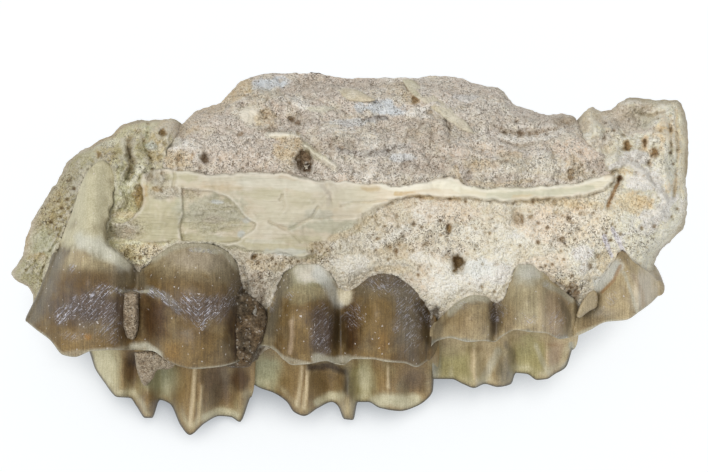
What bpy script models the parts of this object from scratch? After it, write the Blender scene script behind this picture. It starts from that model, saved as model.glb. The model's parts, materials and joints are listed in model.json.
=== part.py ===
"""Fossil oreodont jaw section: a piece of the left upper jaw with three molars and a broken premolar.

The jaw lies on its worn cheek side, with the tongue side leaning up. Its outlines are drawn on a
tracing grid that looks square on to the tongue side. One grid unit is a tenth of a millimetre, x runs
to the right and y runs down. The third number of a point is its depth in millimetres, towards the
viewer of that side. Everything is worked out on the grid first and placed in metres at the end.
"""
import math

import bmesh
import bpy
import numpy as np
from mathutils import Vector, geometry

# Driving dimensions, in metres
JAW_LENGTH = 0.0676
GAP = 0.00033
SIGHT = 0.393
LEAN = math.radians(25)
HOME = (0.0, -0.001734, 0.0126)

# The tracing grid, in grid units and millimetres
GRID_ACROSS = 676
GRID_PER_MM = 10
UNIT = JAW_LENGTH / GRID_ACROSS
MM = GRID_PER_MM * UNIT
GRID_ORIGIN = (350, 254)
SIGHT_POINT = (354, 236)

# Floor under the jaw, as a height on the grid in millimetres, and the block that wears the cheek flat
FLOOR = -12.6
WEAR_BLOCK = (0.12, 0.09, 0.03)

# Point spacing on the jaw's surfaces, in grid units
FRONT_STEP = 13.5
BACK_STEP = 30
RIM_RINGS = (3, 10)
OUTLINE_STEP = 13
FRONT_ROUND = 30
BACK_ROUND = 50
FEATURE_CLEAR = 0.45
RING_CLEAR = 0.9
ROW_HEIGHT = 0.866
SCATTER = 0.22
TRACE_STEP = 10
ON_LINE = 0.001
FEWEST_POINTS = 8

# Distances in metres under which two points are one, and the most that a sharp edge is moved out
WELD = 0.0000001
CUT_WELD = 0.000001
EDGE_LIMIT = 2.0

# Depth nets in millimetres: rows run down the jaw, columns run along it
NET_START = (0, 60)
NET_STEP = (100, 60)
FACE_NET = (
    (-6.0, -5.0, -4.0, -4.0, -4.0, -4.0, -4.0, -5.0),
    (-5.0, -0.8, 2.0, 2.6, 2.6, 2.0, 0.8, -1.5),
    (-4.0, 3.6, 5.4, 6.0, 6.0, 5.4, 3.6, 0.0),
    (-3.0, 4.4, 5.8, 5.4, 5.2, 4.6, 3.2, 0.0),
    (-2.0, 3.6, 5.0, 4.8, 4.8, 3.9, 2.4, -1.0),
    (-3.0, 1.0, 2.0, 2.0, 2.0, 1.2, 0.0, -3.0),
)
CHEEK_NET = (
    (-6.0, -7.0, -8.0, -8.0, -8.0, -8.0, -7.0, -6.0),
    (-7.0, -9.0, -11.5, -12.5, -12.5, -11.0, -9.0, -7.0),
    (-8.0, -11.0, -14.0, -16.5, -16.5, -14.0, -10.5, -7.5),
    (-8.0, -12.0, -15.5, -17.0, -17.0, -15.0, -10.5, -7.5),
    (-8.0, -11.0, -13.5, -14.5, -14.2, -12.6, -9.0, -7.0),
    (-7.0, -9.0, -10.0, -10.5, -10.5, -9.5, -7.5, -6.0),
)

# Depth of the rims, and where the bone's rim lies deeper behind the rock: start, end and fade
BONE_RIM = -4.5
BONE_TOP_RIM = -7.5
BONE_TOP_ACROSS = (185, 575)
BONE_TOP_FADE = 30
BONE_TOP_LOWEST = 180
BONE_TOP_FALL = 40

# The rock: its rim, its back, its bed in the bone, and how widely its edge is rounded
MATRIX_RIM = -3.6
MATRIX_BACK = -6.2
MATRIX_BACK_WAVES = 0.5
MATRIX_BED = 2.6
MATRIX_BED_EDGE = (3, 8)
MATRIX_STEPS = (12.5, 32)
MATRIX_RINGS = (2, 8)
MATRIX_ROUND_DOWN = (140, 172)
MATRIX_ROUND = (22, 4)
MATRIX_ROUND_ALONG = (165, 200, 570, 600)
MATRIX_ROUND_SHARE = (0.3, 1, 1, 0.3)
MATRIX_BACK_ROUND = 20

# Outlines on the tracing grid
BONE_OUTLINE = (
    (12, 272), (20, 260), (25, 250), (27, 240), (33, 222), (38, 212), (50, 192), (62, 175), (70, 160),
    (84, 150), (98, 142), (110, 136), (122, 126), (133, 121), (155, 120), (172, 119), (181, 125),
    (192, 137), (215, 132), (245, 116), (290, 104), (340, 104), (400, 106), (460, 110), (500, 120),
    (540, 136), (562, 138), (573, 128), (581, 117), (592, 107), (600, 111), (610, 110), (618, 103),
    (632, 98), (655, 100), (675, 100), (682, 104), (685, 118), (688, 150), (686, 180), (688, 195),
    (686, 215), (682, 228), (672, 240), (662, 250), (656, 258), (652, 278), (640, 296), (610, 303),
    (575, 316), (530, 326), (470, 332), (430, 336), (400, 338), (340, 340), (290, 345), (266, 352),
    (252, 364), (242, 364), (230, 350), (190, 345), (140, 345), (100, 335), (60, 326), (40, 322),
    (27, 318), (32, 310), (33, 300), (28, 288), (20, 283), (14, 279),
)
MATRIX_OUTLINE = (
    (172, 136), (179, 126), (183, 122), (196, 112), (212, 106), (220, 104), (227, 96), (240, 82),
    (258, 75), (275, 73), (310, 73), (330, 75), (350, 78), (400, 78), (440, 76), (455, 77), (475, 83),
    (492, 86), (505, 92), (510, 100), (515, 105), (530, 110), (543, 114), (566, 114), (576, 119),
    (584, 130), (598, 145), (611, 160), (612, 182), (600, 190), (565, 193), (530, 197), (500, 200),
    (462, 197), (430, 191), (400, 194), (360, 191), (330, 187), (300, 183), (270, 179), (240, 180),
    (200, 180), (170, 179), (157, 165), (164, 150),
)
PALATE_SHELF = (
    (150, 168), (180, 170), (200, 173), (240, 173), (270, 172), (300, 176), (330, 180), (360, 183),
    (400, 187), (430, 181), (455, 178), (462, 189), (500, 193), (530, 190), (565, 185), (600, 183),
    (612, 180), (604, 191), (580, 200), (540, 201), (500, 204), (460, 200), (430, 197), (400, 199),
    (372, 212), (358, 222), (345, 228), (331, 240), (320, 254), (308, 258), (290, 254), (250, 250),
    (205, 240), (170, 243), (135, 239), (106, 238), (108, 228), (125, 222), (140, 210), (143, 195),
    (140, 180),
)

# The shelf's edge, its height along the jaw, and how it falls towards its lower side
SHELF_EDGE = 2.6
SHELF_LINES = 0.6
SHELF_ALONG = (105, 150, 260, 360, 420, 610)
SHELF_HEIGHT = (0.6, 1.4, 1.6, 1.7, 2.1, 2.0)
SHELF_FALL = 0.9
SHELF_FALL_DOWN = (205, 40)
SHELF_FALL_END = 360

# Raised lumps and sunk pits: x, y, half width, half height, depth change in millimetres
BONE_LUMPS = (
    (22, 268, 14, 12, 3.4), (140, 128, 22, 10, 1.6), (166, 132, 14, 12, 1.4), (124, 150, 12, 16, 0.9),
    (143, 165, 14, 10, 0.9), (141, 200, 9, 14, -0.9), (248, 335, 15, 34, 4.6), (592, 116, 10, 12, 1.8),
    (570, 150, 24, 22, 0.8), (634, 118, 24, 14, -1.4), (628, 106, 18, 7, 1.0), (660, 140, 20, 24, 0.9),
    (640, 172, 26, 14, 1.2), (676, 130, 10, 34, 1.6), (636, 205, 24, 12, -0.7), (655, 152, 8, 7, -0.9),
    (628, 147, 8, 6, -0.8), (458, 262, 7, 9, -1.3), (518, 215, 6, 10, -0.9), (430, 250, 46, 26, 0.5),
    (575, 262, 22, 16, 0.6), (132, 250, 16, 14, 1.2), (350, 258, 22, 16, 0.6), (52, 205, 14, 30, -0.8),
    (36, 290, 10, 30, 1.6),
)
MATRIX_LUMPS = (
    (303, 166, 8, 8, -2.6), (294, 139, 26, 10, 0.9), (230, 150, 40, 16, 0.4), (225, 118, 26, 12, 0.8),
    (262, 92, 24, 14, 0.7), (300, 120, 60, 8, -0.5), (370, 120, 30, 16, -0.6), (350, 150, 44, 14, 0.6),
    (430, 150, 50, 18, 0.5), (400, 92, 40, 10, 0.4), (470, 105, 30, 12, 0.6), (520, 130, 34, 8, -0.9),
    (548, 122, 30, 6, 0.7), (568, 124, 12, 7, -1.6), (545, 165, 44, 12, 0.7), (480, 160, 22, 12, -0.5),
    (180, 160, 4, 5, -0.6), (205, 158, 5, 6, -0.9), (200, 130, 20, 8, -0.4),
)
CHEEK_LUMPS = (
    (70, 262, 12, 46, -1.1), (112, 268, 12, 42, -1.1), (165, 272, 13, 40, -0.9), (520, 258, 12, 40, -1.0),
    (560, 250, 11, 40, -1.1), (618, 236, 13, 36, -1.0), (90, 200, 16, 30, 1.2), (590, 170, 26, 20, 1.6),
    (330, 140, 90, 14, -1.2), (420, 172, 60, 12, 1.4), (230, 165, 40, 14, 1.3), (650, 190, 18, 34, -1.0),
)

# Slow and quick waviness of the broken surfaces: size of a wave in grid units, its height, its seed
BONE_WAVES = ((62, 0.55, 11), (26, 0.28, 12))
MATRIX_WAVES = ((58, 0.6, 21), (24, 0.36, 22))
CHEEK_WAVES = ((90, 0.9, 31), (38, 0.35, 32))

# Teeth: rails that run from the left end to the right end of a tooth. A row is the place along the
# tooth from 0 to 1, then x, y and depth.
MOLAR_3 = {
    "neck": (
        (0.00, 61, 240, 3.2), (0.07, 72, 212, 3.8), (0.14, 82, 182, 4.4), (0.20, 89, 164, 4.9),
        (0.34, 114, 166, 4.9), (0.40, 122, 192, 5.0), (0.44, 127, 218, 5.2), (0.48, 132, 245, 5.4),
        (0.50, 137, 271, 5.4), (0.53, 144, 266, 5.4), (0.60, 160, 253, 5.6), (0.68, 180, 243, 5.9),
        (0.78, 202, 243, 5.9), (0.87, 222, 248, 5.4), (0.94, 236, 262, 4.6), (1.00, 243, 286, 3.4),
    ),
    "belly": (
        (0.00, 43, 290, 3.0), (0.12, 62, 288, 7.0), (0.25, 86, 288, 9.4), (0.38, 112, 290, 9.2),
        (0.47, 131, 297, 7.4), (0.50, 137, 300, 6.8), (0.53, 143, 298, 7.4), (0.62, 163, 297, 9.4),
        (0.75, 193, 296, 10.2), (0.88, 222, 300, 8.8), (1.00, 246, 312, 3.6),
    ),
    "tongue crest": (
        (0.00, 27, 322, 2.6), (0.05, 38, 331, 4.8), (0.11, 50, 340, 6.4), (0.18, 63, 355, 7.6),
        (0.25, 75, 357, 7.9), (0.32, 92, 351, 8.0), (0.42, 115, 350, 7.2), (0.50, 136, 350, 5.6),
        (0.55, 152, 351, 6.4), (0.61, 166, 360, 7.6), (0.70, 182, 367, 8.3), (0.76, 194, 369, 8.5),
        (0.86, 218, 367, 7.4), (0.94, 235, 363, 5.4), (1.00, 248, 354, 3.0),
    ),
    "valley": (
        (0.00, 44, 322, 0.0), (0.25, 84, 316, 1.4), (0.50, 140, 338, 1.2), (0.75, 192, 326, 1.4),
        (1.00, 249, 350, 0.0),
    ),
    "cheek crest": (
        (0.00, 62, 318, -4.8), (0.10, 78, 338, -5.2), (0.17, 91, 354, -5.4), (0.22, 94, 366, -5.2),
        (0.28, 104, 382, -4.6), (0.34, 117, 397, -4.0), (0.42, 130, 398, -4.6), (0.47, 137, 407, -5.2),
        (0.51, 145, 418, -5.4), (0.55, 152, 418, -5.4), (0.60, 160, 400, -5.2), (0.66, 170, 404, -4.6),
        (0.73, 181, 426, -4.0), (0.78, 190, 435, -3.8), (0.84, 205, 423, -4.0), (0.90, 220, 416, -4.6),
        (0.94, 231, 417, -5.0), (0.97, 240, 422, -5.2), (1.00, 250, 398, -5.0),
    ),
    "cheek belly": (
        (0.00, 58, 296, -7.4), (0.25, 100, 340, -7.6), (0.40, 126, 350, -7.4), (0.53, 148, 356, -8.6),
        (0.66, 172, 356, -7.6), (0.80, 196, 362, -7.6), (1.00, 244, 352, -8.0),
    ),
    "cheek neck": (
        (0.00, 62, 264, -7.0), (0.30, 104, 296, -8.6), (0.53, 148, 300, -9.2), (0.80, 196, 302, -9.0),
        (1.00, 242, 300, -8.0),
    ),
}
MOLAR_2 = {
    "neck": (
        (0.00, 259, 332, 2.6), (0.06, 266, 312, 3.8), (0.13, 275, 291, 4.4), (0.20, 286, 271, 4.8),
        (0.30, 301, 264, 5.0), (0.40, 316, 264, 5.0), (0.46, 327, 269, 4.8), (0.50, 337, 284, 4.4),
        (0.53, 346, 291, 4.2), (0.57, 353, 289, 4.2), (0.63, 367, 279, 4.6), (0.70, 379, 273, 4.8),
        (0.78, 392, 275, 4.8), (0.86, 405, 282, 4.4), (0.94, 421, 297, 3.6), (1.00, 432, 314, 2.4),
    ),
    "belly": (
        (0.00, 256, 338, 2.8), (0.10, 270, 330, 5.2), (0.22, 292, 318, 8.0), (0.33, 308, 314, 8.4),
        (0.43, 326, 318, 7.0), (0.50, 341, 324, 5.2), (0.57, 355, 320, 6.2), (0.70, 376, 314, 8.2),
        (0.84, 400, 318, 7.2), (1.00, 430, 334, 2.4),
    ),
    "tongue crest": (
        (0.00, 252, 346, 2.2), (0.07, 265, 346, 3.8), (0.13, 275, 351, 5.2), (0.18, 284, 360, 6.4),
        (0.24, 293, 365, 7.0), (0.33, 309, 364, 7.0), (0.42, 326, 361, 6.0), (0.48, 336, 364, 4.8),
        (0.52, 343, 365, 4.6), (0.58, 354, 359, 5.6), (0.66, 370, 359, 6.6), (0.76, 388, 362, 6.6),
        (0.85, 404, 363, 5.6), (0.92, 416, 367, 4.2), (1.00, 427, 361, 2.0),
    ),
    "valley": (
        (0.00, 256, 344, -0.4), (0.28, 300, 324, 0.8), (0.50, 341, 344, 0.4), (0.75, 386, 324, 0.8),
        (1.00, 430, 352, -0.4),
    ),
    "cheek crest": (
        (0.00, 245, 362, -3.4), (0.04, 246, 376, -3.8), (0.10, 258, 387, -4.2), (0.18, 274, 393, -4.2),
        (0.25, 287, 402, -4.0), (0.29, 294, 412, -4.0), (0.33, 304, 416, -4.0), (0.39, 318, 408, -4.2),
        (0.46, 332, 402, -4.8), (0.49, 338, 406, -5.2), (0.52, 344, 419, -5.4), (0.56, 353, 420, -5.4),
        (0.60, 358, 402, -5.2), (0.66, 368, 402, -4.6), (0.72, 380, 408, -4.2), (0.82, 400, 411, -4.2),
        (0.90, 417, 406, -4.6), (0.96, 433, 390, -5.0), (1.00, 434, 372, -4.8),
    ),
    "cheek belly": (
        (0.00, 250, 350, -7.2), (0.25, 290, 352, -7.0), (0.52, 347, 358, -8.2), (0.75, 386, 352, -7.0),
        (1.00, 430, 348, -7.6),
    ),
    "cheek neck": (
        (0.00, 258, 306, -7.6), (0.50, 345, 300, -9.0), (1.00, 430, 306, -7.8),
    ),
}
MOLAR_1 = {
    "neck": (
        (0.00, 437, 322, 2.0), (0.10, 449, 309, 3.2), (0.20, 462, 299, 3.8), (0.30, 474, 295, 4.0),
        (0.40, 485, 296, 3.8), (0.50, 497, 303, 3.2), (0.55, 505, 297, 3.4), (0.60, 511, 277, 3.8),
        (0.65, 518, 265, 4.0), (0.73, 528, 264, 4.0), (0.82, 540, 270, 3.8), (0.90, 553, 281, 3.2),
        (1.00, 571, 297, 1.6),
    ),
    "belly": (
        (0.00, 433, 332, 2.0), (0.15, 453, 322, 4.8), (0.30, 474, 318, 6.2), (0.42, 489, 320, 5.4),
        (0.50, 499, 322, 4.2), (0.58, 510, 312, 5.2), (0.72, 529, 304, 6.6), (0.87, 552, 310, 5.0),
        (1.00, 571, 318, 1.4),
    ),
    "tongue crest": (
        (0.00, 429, 349, 1.6), (0.07, 437, 341, 2.8), (0.16, 450, 338, 4.2), (0.28, 468, 342, 5.2),
        (0.40, 484, 341, 4.6), (0.47, 494, 342, 3.8), (0.53, 503, 336, 3.8), (0.60, 515, 330, 4.8),
        (0.72, 530, 332, 5.2), (0.82, 545, 333, 4.4), (0.92, 560, 339, 2.8), (1.00, 568, 338, 1.2),
    ),
    "valley": (
        (0.00, 430, 346, -1.2), (0.25, 464, 316, -0.2), (0.50, 499, 332, -0.4), (0.75, 534, 308, -0.2),
        (1.00, 570, 334, -1.4),
    ),
    "cheek crest": (
        (0.00, 425, 352, -3.4), (0.02, 425, 368, -4.0), (0.08, 434, 379, -4.4), (0.18, 451, 379, -4.4),
        (0.26, 463, 384, -4.2), (0.34, 474, 388, -4.2), (0.42, 485, 384, -4.6), (0.50, 498, 387, -5.2),
        (0.57, 511, 384, -5.4), (0.62, 516, 373, -5.2), (0.70, 527, 374, -4.6), (0.77, 537, 380, -4.4),
        (0.84, 547, 379, -4.4), (0.89, 555, 374, -4.8), (0.95, 566, 367, -5.2), (1.00, 572, 350, -5.0),
    ),
    "cheek belly": (
        (0.00, 434, 338, -7.0), (0.28, 468, 342, -6.8), (0.52, 502, 344, -7.8), (0.76, 536, 338, -6.8),
        (1.00, 568, 332, -7.2),
    ),
    "cheek neck": (
        (0.00, 436, 302, -7.2), (0.50, 500, 296, -8.2), (1.00, 566, 294, -7.2),
    ),
}
PREMOLAR_4 = {
    "neck": (
        (0.00, 578, 318, 0.8), (0.18, 587, 300, 1.8), (0.34, 600, 280, 2.2), (0.48, 613, 262, 2.6),
        (0.58, 622, 251, 2.8), (0.70, 634, 262, 2.6), (0.84, 647, 271, 1.6), (1.00, 657, 281, 0.0),
    ),
    "belly": (
        (0.00, 576, 328, 1.0), (0.25, 595, 310, 3.2), (0.50, 617, 296, 4.4), (0.62, 630, 290, 4.8),
        (0.75, 640, 290, 4.0), (1.00, 658, 288, 0.0),
    ),
    "tongue crest": (
        (0.00, 575, 337, 0.6), (0.20, 590, 330, 2.4), (0.38, 606, 322, 3.2), (0.58, 626, 320, 3.6),
        (0.72, 639, 312, 3.4), (0.88, 651, 303, 2.0), (1.00, 658, 296, 0.0),
    ),
    "valley": (
        (0.00, 577, 328, -2.0), (0.50, 615, 304, -1.4), (1.00, 655, 290, -2.0),
    ),
    "cheek crest": (
        (0.00, 577, 332, -4.6), (0.25, 594, 324, -4.8), (0.55, 620, 314, -4.4), (0.80, 640, 304, -4.6),
        (1.00, 655, 290, -4.4),
    ),
    "cheek belly": (
        (0.00, 580, 312, -6.4), (0.50, 616, 296, -6.8), (1.00, 652, 280, -6.0),
    ),
    "cheek neck": (
        (0.00, 582, 290, -6.4), (0.50, 616, 272, -6.8), (1.00, 650, 262, -6.0),
    ),
}

# The faces of a tooth: the rails that each one passes, how far along it they lie, and its rows
TOOTH_FACES = (
    (("neck", "belly", "tongue crest"), (0.0, 0.6, 1.0), 5),
    (("tongue crest", "valley", "cheek crest"), (0.0, 0.45, 1.0), 4),
    (("cheek crest", "cheek belly", "cheek neck"), (0.0, 0.5, 1.0), 3),
    (("cheek neck", "neck"), (0.0, 1.0), 2),
)
TOOTH_STATIONS = 21
TOOTH_END_ROUND = (0.55, 0.85)
TOOTH_END_REACH = (0.55, 0.30)

# Loose slivers of bone: outline, depth of the front above the rock, depth of the back
OVAL_SLIVER = (
    (336, 90), (346, 88), (357, 90), (367, 95), (376, 100), (366, 102), (352, 101), (343, 96),
)
SLAB_SLIVER = (
    (402, 80), (409, 79), (420, 86), (432, 92), (444, 101), (456, 112), (468, 124), (475, 134),
    (464, 131), (450, 122), (437, 112), (424, 103), (412, 94),
)
SLIVER_HEIGHT = 0.5
SLIVER_RIM = 0.4
SLIVER_DEPTH = 0.8
SLIVER_STEP = 9
SLIVER_RINGS = (3.0,)
SLIVER_ROUND = 5

# The enamel wedge that has cracked off the premolar
PREMOLAR_CHIP = (
    (576, 316), (580, 305), (588, 293), (595, 290), (598, 297), (597, 307), (588, 312), (580, 318),
)
CHIP_FRONT = 4.9
CHIP_BACK = 3.2
CHIP_STEP = 7
CHIP_RINGS = (2.5,)
CHIP_ROUND = 4

# Finishes: colour and roughness
BONE_FINISH = ((0.66, 0.60, 0.47, 1.0), 0.8)
MATRIX_FINISH = ((0.52, 0.46, 0.38, 1.0), 0.9)
ENAMEL_DARK = ((0.16, 0.12, 0.07, 1.0), 0.3)
ENAMEL_LIGHT = ((0.34, 0.27, 0.17, 1.0), 0.35)
SLIVER_FINISH = ((0.60, 0.55, 0.40, 1.0), 0.7)


def clear_scene():
    """Remove every object of the scene."""
    for item in list(bpy.data.objects):
        bpy.data.objects.remove(item, do_unlink=True)


def through(stops, at):
    """Read a smooth curve through rows of (place, values...) at the given places, with no overshoot."""
    rows = np.asarray(stops, float)
    at = np.asarray(at, float)
    places, values = rows[:, 0], rows[:, 1:]
    step = np.diff(places)
    slope = np.diff(values, axis=0) / step[:, None]
    tangent = np.zeros_like(values)
    tangent[0], tangent[-1] = slope[0], slope[-1]
    before, after = slope[:-1], slope[1:]
    same_way = before * after > 0
    both = np.where(same_way, before + after, 1.0)
    tangent[1:-1] = np.where(same_way, 2 * before * after / both, 0.0)
    k = np.clip(np.searchsorted(places, at, side="right") - 1, 0, len(step) - 1)
    h = step[k][:, None]
    t = ((at - places[k]) / step[k])[:, None]
    start = (2 * t**3 - 3 * t**2 + 1) * values[k] + (t**3 - 2 * t**2 + t) * h * tangent[k]
    end = (3 * t**2 - 2 * t**3) * values[k + 1] + (t**3 - t**2) * h * tangent[k + 1]
    return start + end


def closed_curve(points, spacing):
    """Points at an even spacing along a closed line that passes softly through the given ones."""
    ring = np.asarray(points + points[:1], float)
    length = np.concatenate(([0.0], np.cumsum(np.hypot(*np.diff(ring, axis=0).T))))
    count = max(FEWEST_POINTS, round(length[-1] / spacing))
    at = np.linspace(0, length[-1], count, endpoint=False)
    return through(np.column_stack((length, ring)), at)


def line_distance(x, y, path):
    """Distance from each point to a closed path."""
    start, end = path, np.roll(path, -1, axis=0)
    run = end - start
    size = np.maximum((run**2).sum(axis=1), 1e-9)
    best = np.full(x.shape, 1e9)
    for (sx, sy), (rx, ry), square in zip(start, run, size):
        t = np.clip(((x - sx) * rx + (y - sy) * ry) / square, 0, 1)
        best = np.minimum(best, np.hypot(x - sx - t * rx, y - sy - t * ry))
    return best


def inside(x, y, path):
    """True for each point inside a closed path."""
    result = np.zeros(x.shape, bool)
    for (ax, ay), (bx, by) in zip(path, np.roll(path, -1, axis=0)):
        if ay == by:
            continue
        crosses = (ay > y) != (by > y)
        result ^= crosses & (x < (bx - ax) * (y - ay) / (by - ay) + ax)
    return result


def reach_inside(x, y, outline):
    """Distance of each point inside an outline, less than zero outside it."""
    path = closed_curve(outline, TRACE_STEP)
    return line_distance(x, y, path) * np.where(inside(x, y, path), 1, -1)


def soft_step(value):
    """Ease from 0 to 1."""
    value = np.clip(value, 0, 1)
    return value * value * (3 - 2 * value)


def net_depth(x, y, net):
    """Depth read from a net of heights, smooth between its knots."""
    heights = np.asarray(net, float)
    rows, columns = heights.shape
    across = np.clip((x - NET_START[0]) / NET_STEP[0], 0, columns - 1.001)
    down = np.clip((y - NET_START[1]) / NET_STEP[1], 0, rows - 1.001)
    column, row = across.astype(int), down.astype(int)

    def weights(t):
        return (
            (-t + 2 * t**2 - t**3) / 2, (2 - 5 * t**2 + 3 * t**3) / 2,
            (t + 4 * t**2 - 3 * t**3) / 2, (t**3 - t**2) / 2,
        )

    depth = np.zeros(x.shape)
    for i, row_share in enumerate(weights(down - row)):
        for j, column_share in enumerate(weights(across - column)):
            row_at = np.clip(row + i - 1, 0, rows - 1)
            column_at = np.clip(column + j - 1, 0, columns - 1)
            depth += row_share * column_share * heights[row_at, column_at]
    return depth


def waves(x, y, kinds):
    """Smooth, seeded unevenness, from -1 to 1 times each kind's height."""
    total = np.zeros(x.shape)
    for size, height, seed in kinds:
        table = np.random.default_rng(seed).uniform(-1, 1, (64, 64))
        across, down = x / size, y / size
        i, j = np.floor(across).astype(int), np.floor(down).astype(int)
        s, t = soft_step(across - i), soft_step(down - j)
        top = table[j % 64, i % 64] * (1 - s) + table[j % 64, (i + 1) % 64] * s
        low = table[(j + 1) % 64, i % 64] * (1 - s) + table[(j + 1) % 64, (i + 1) % 64] * s
        total += height * (top * (1 - t) + low * t)
    return total


def lumps(x, y, kinds):
    """Sum of soft lumps and pits."""
    total = np.zeros(x.shape)
    for cx, cy, half_width, half_height, height in kinds:
        total += height * np.exp(-(((x - cx) / half_width) ** 2) - ((y - cy) / half_height) ** 2)
    return total


def bone_front(x, y):
    """Depth of the jawbone's tongue side, with the raised palate shelf."""
    depth = net_depth(x, y, FACE_NET) + lumps(x, y, BONE_LUMPS) + waves(x, y, BONE_WAVES)
    shelf = soft_step(reach_inside(x, y, PALATE_SHELF) / SHELF_EDGE + 0.5)
    height = np.interp(x, SHELF_ALONG, SHELF_HEIGHT)
    fall_start, fall_run = SHELF_FALL_DOWN
    height = height - SHELF_FALL * soft_step((y - fall_start) / fall_run) * (x < SHELF_FALL_END)
    spread, run = MATRIX_BED_EDGE
    bed = soft_step((reach_inside(x, y, MATRIX_OUTLINE) + spread) / run) * (1 - shelf)
    return depth + height * shelf - MATRIX_BED * bed


def matrix_front(x, y):
    """Depth of the rock's tongue side."""
    return net_depth(x, y, FACE_NET) + lumps(x, y, MATRIX_LUMPS) + waves(x, y, MATRIX_WAVES)


def cheek_back(x, y):
    """Depth of the jawbone's cheek side."""
    return net_depth(x, y, CHEEK_NET) + lumps(x, y, CHEEK_LUMPS) + waves(x, y, CHEEK_WAVES)


def matrix_back(x, y):
    """Depth of the rock where it lies on the bone behind it."""
    return MATRIX_BACK + waves(x, y, CHEEK_WAVES) * MATRIX_BACK_WAVES


def level(depth):
    """A surface of one depth."""
    return lambda x, y: depth + 0 * x


def bone_rim(x, y):
    """Depth of the jawbone's rim, which drops back behind the rock."""
    start, end = BONE_TOP_ACROSS
    across = soft_step((x - start) / BONE_TOP_FADE) * soft_step((end - x) / BONE_TOP_FADE)
    top = soft_step((BONE_TOP_LOWEST - y) / BONE_TOP_FALL) * across
    return BONE_RIM + (BONE_TOP_RIM - BONE_RIM) * top


def matrix_round(x, y):
    """Width of the rock's rounded edge, narrow along the shelf and at both ends."""
    down = np.interp(y, MATRIX_ROUND_DOWN, MATRIX_ROUND)
    return down * np.interp(x, MATRIX_ROUND_ALONG, MATRIX_ROUND_SHARE)


def place(points):
    """Turn grid points with a depth in millimetres into metres, drawn in towards the line of sight."""
    points = np.asarray(points, float)
    across = (SIGHT_POINT[0] - GRID_ORIGIN[0]) * UNIT
    up = (GRID_ORIGIN[1] - SIGHT_POINT[1]) * UNIT
    depth = points[:, 2] * MM
    shrink = 1 - depth / SIGHT
    u = across + (points[:, 0] - SIGHT_POINT[0]) * UNIT * shrink
    v = up + (SIGHT_POINT[1] - points[:, 1]) * UNIT * shrink
    return np.column_stack((u, v, depth))


def sheet(outline, lines, step, seed, rings):
    """Fill an outline with triangles, with points on rings inside its edge and on the given lines."""
    points, edges = [tuple(p) for p in outline], []
    edges += [(i, (i + 1) % len(outline)) for i in range(len(outline))]
    for line in lines:
        first = len(points)
        points += [tuple(p) for p in line]
        edges += [(first + i, first + (i + 1) % len(line)) for i in range(len(line))]
    along = np.roll(outline, -1, axis=0) - np.roll(outline, 1, axis=0)
    normal = np.column_stack((-along[:, 1], along[:, 0])) / np.hypot(*along.T)[:, None]
    for reach in rings:
        for side in (1, -1):
            spot = outline + side * reach * normal
            keep = inside(spot[:, 0], spot[:, 1], outline)
            keep &= line_distance(spot[:, 0], spot[:, 1], outline) > RING_CLEAR * reach
            for line in lines:
                keep &= line_distance(spot[:, 0], spot[:, 1], line) > FEATURE_CLEAR * step
            points += [tuple(p) for p in spot[keep]]
    low, high = outline.min(axis=0), outline.max(axis=0)
    rows = np.arange(low[1], high[1], step * ROW_HEIGHT)
    grid = [(x + (i % 2) * step / 2, y) for i, y in enumerate(rows)
            for x in np.arange(low[0], high[0], step)]
    shift = np.random.default_rng(seed).uniform(-SCATTER, SCATTER, (len(grid), 2))
    grid = np.array(grid) + shift * step
    keep = inside(grid[:, 0], grid[:, 1], outline)
    clear = (rings[-1] if rings else 0) + FEATURE_CLEAR * step
    keep &= line_distance(grid[:, 0], grid[:, 1], outline) > clear
    for line in lines:
        keep &= line_distance(grid[:, 0], grid[:, 1], line) > FEATURE_CLEAR * step
    points += [tuple(p) for p in grid[keep]]
    while True:
        spots, _, faces, *_ = geometry.delaunay_2d_cdt([Vector(p) for p in points], edges, [], 1, 1e-4)
        spots = np.array([tuple(p) for p in spots])
        at_edge = line_distance(*spots.T, outline) < ON_LINE
        pairs = {tuple(sorted(pair)) for a, b, c in faces for pair in ((a, b), (b, c), (c, a))}
        middles = [spots[list(pair)].mean(axis=0) for pair in sorted(pairs) if at_edge[list(pair)].all()]
        middles = [p for p in middles if line_distance(p[:1], p[1:], outline)[0] > ON_LINE]
        if not middles:
            return spots, [tuple(face) for face in faces]
        points += [tuple(p) for p in middles]


def pebble(outline, rim, front, back, lines=(), steps=(FRONT_STEP, BACK_STEP), rings=RIM_RINGS,
           rounds=(FRONT_ROUND, BACK_ROUND)):
    """Closed stone of a given outline: a front sheet and a back sheet that meet along its rim."""
    mesh = bmesh.new()
    for depth, step, side_lines, spread, seed in (
        (front, steps[0], lines, rounds[0], 5), (back, steps[1], (), rounds[1], 6),
    ):
        spots, faces = sheet(outline, side_lines, step, seed, rings)
        x, y = spots[:, 0], spots[:, 1]
        spread = spread(x, y) if callable(spread) else spread
        near = np.clip((line_distance(x, y, outline) - ON_LINE) / spread, 0, 1)
        rise = np.sqrt(1 - (1 - near) ** 2)
        edge = rim(x, y)
        w = edge + (depth(x, y) - edge) * rise
        made = [mesh.verts.new(p) for p in place(np.column_stack((x, y, w)))]
        for face in faces:
            mesh.faces.new([made[i] for i in face])
    bmesh.ops.remove_doubles(mesh, verts=mesh.verts, dist=WELD)
    bmesh.ops.recalc_face_normals(mesh, faces=mesh.faces)
    return mesh


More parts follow.
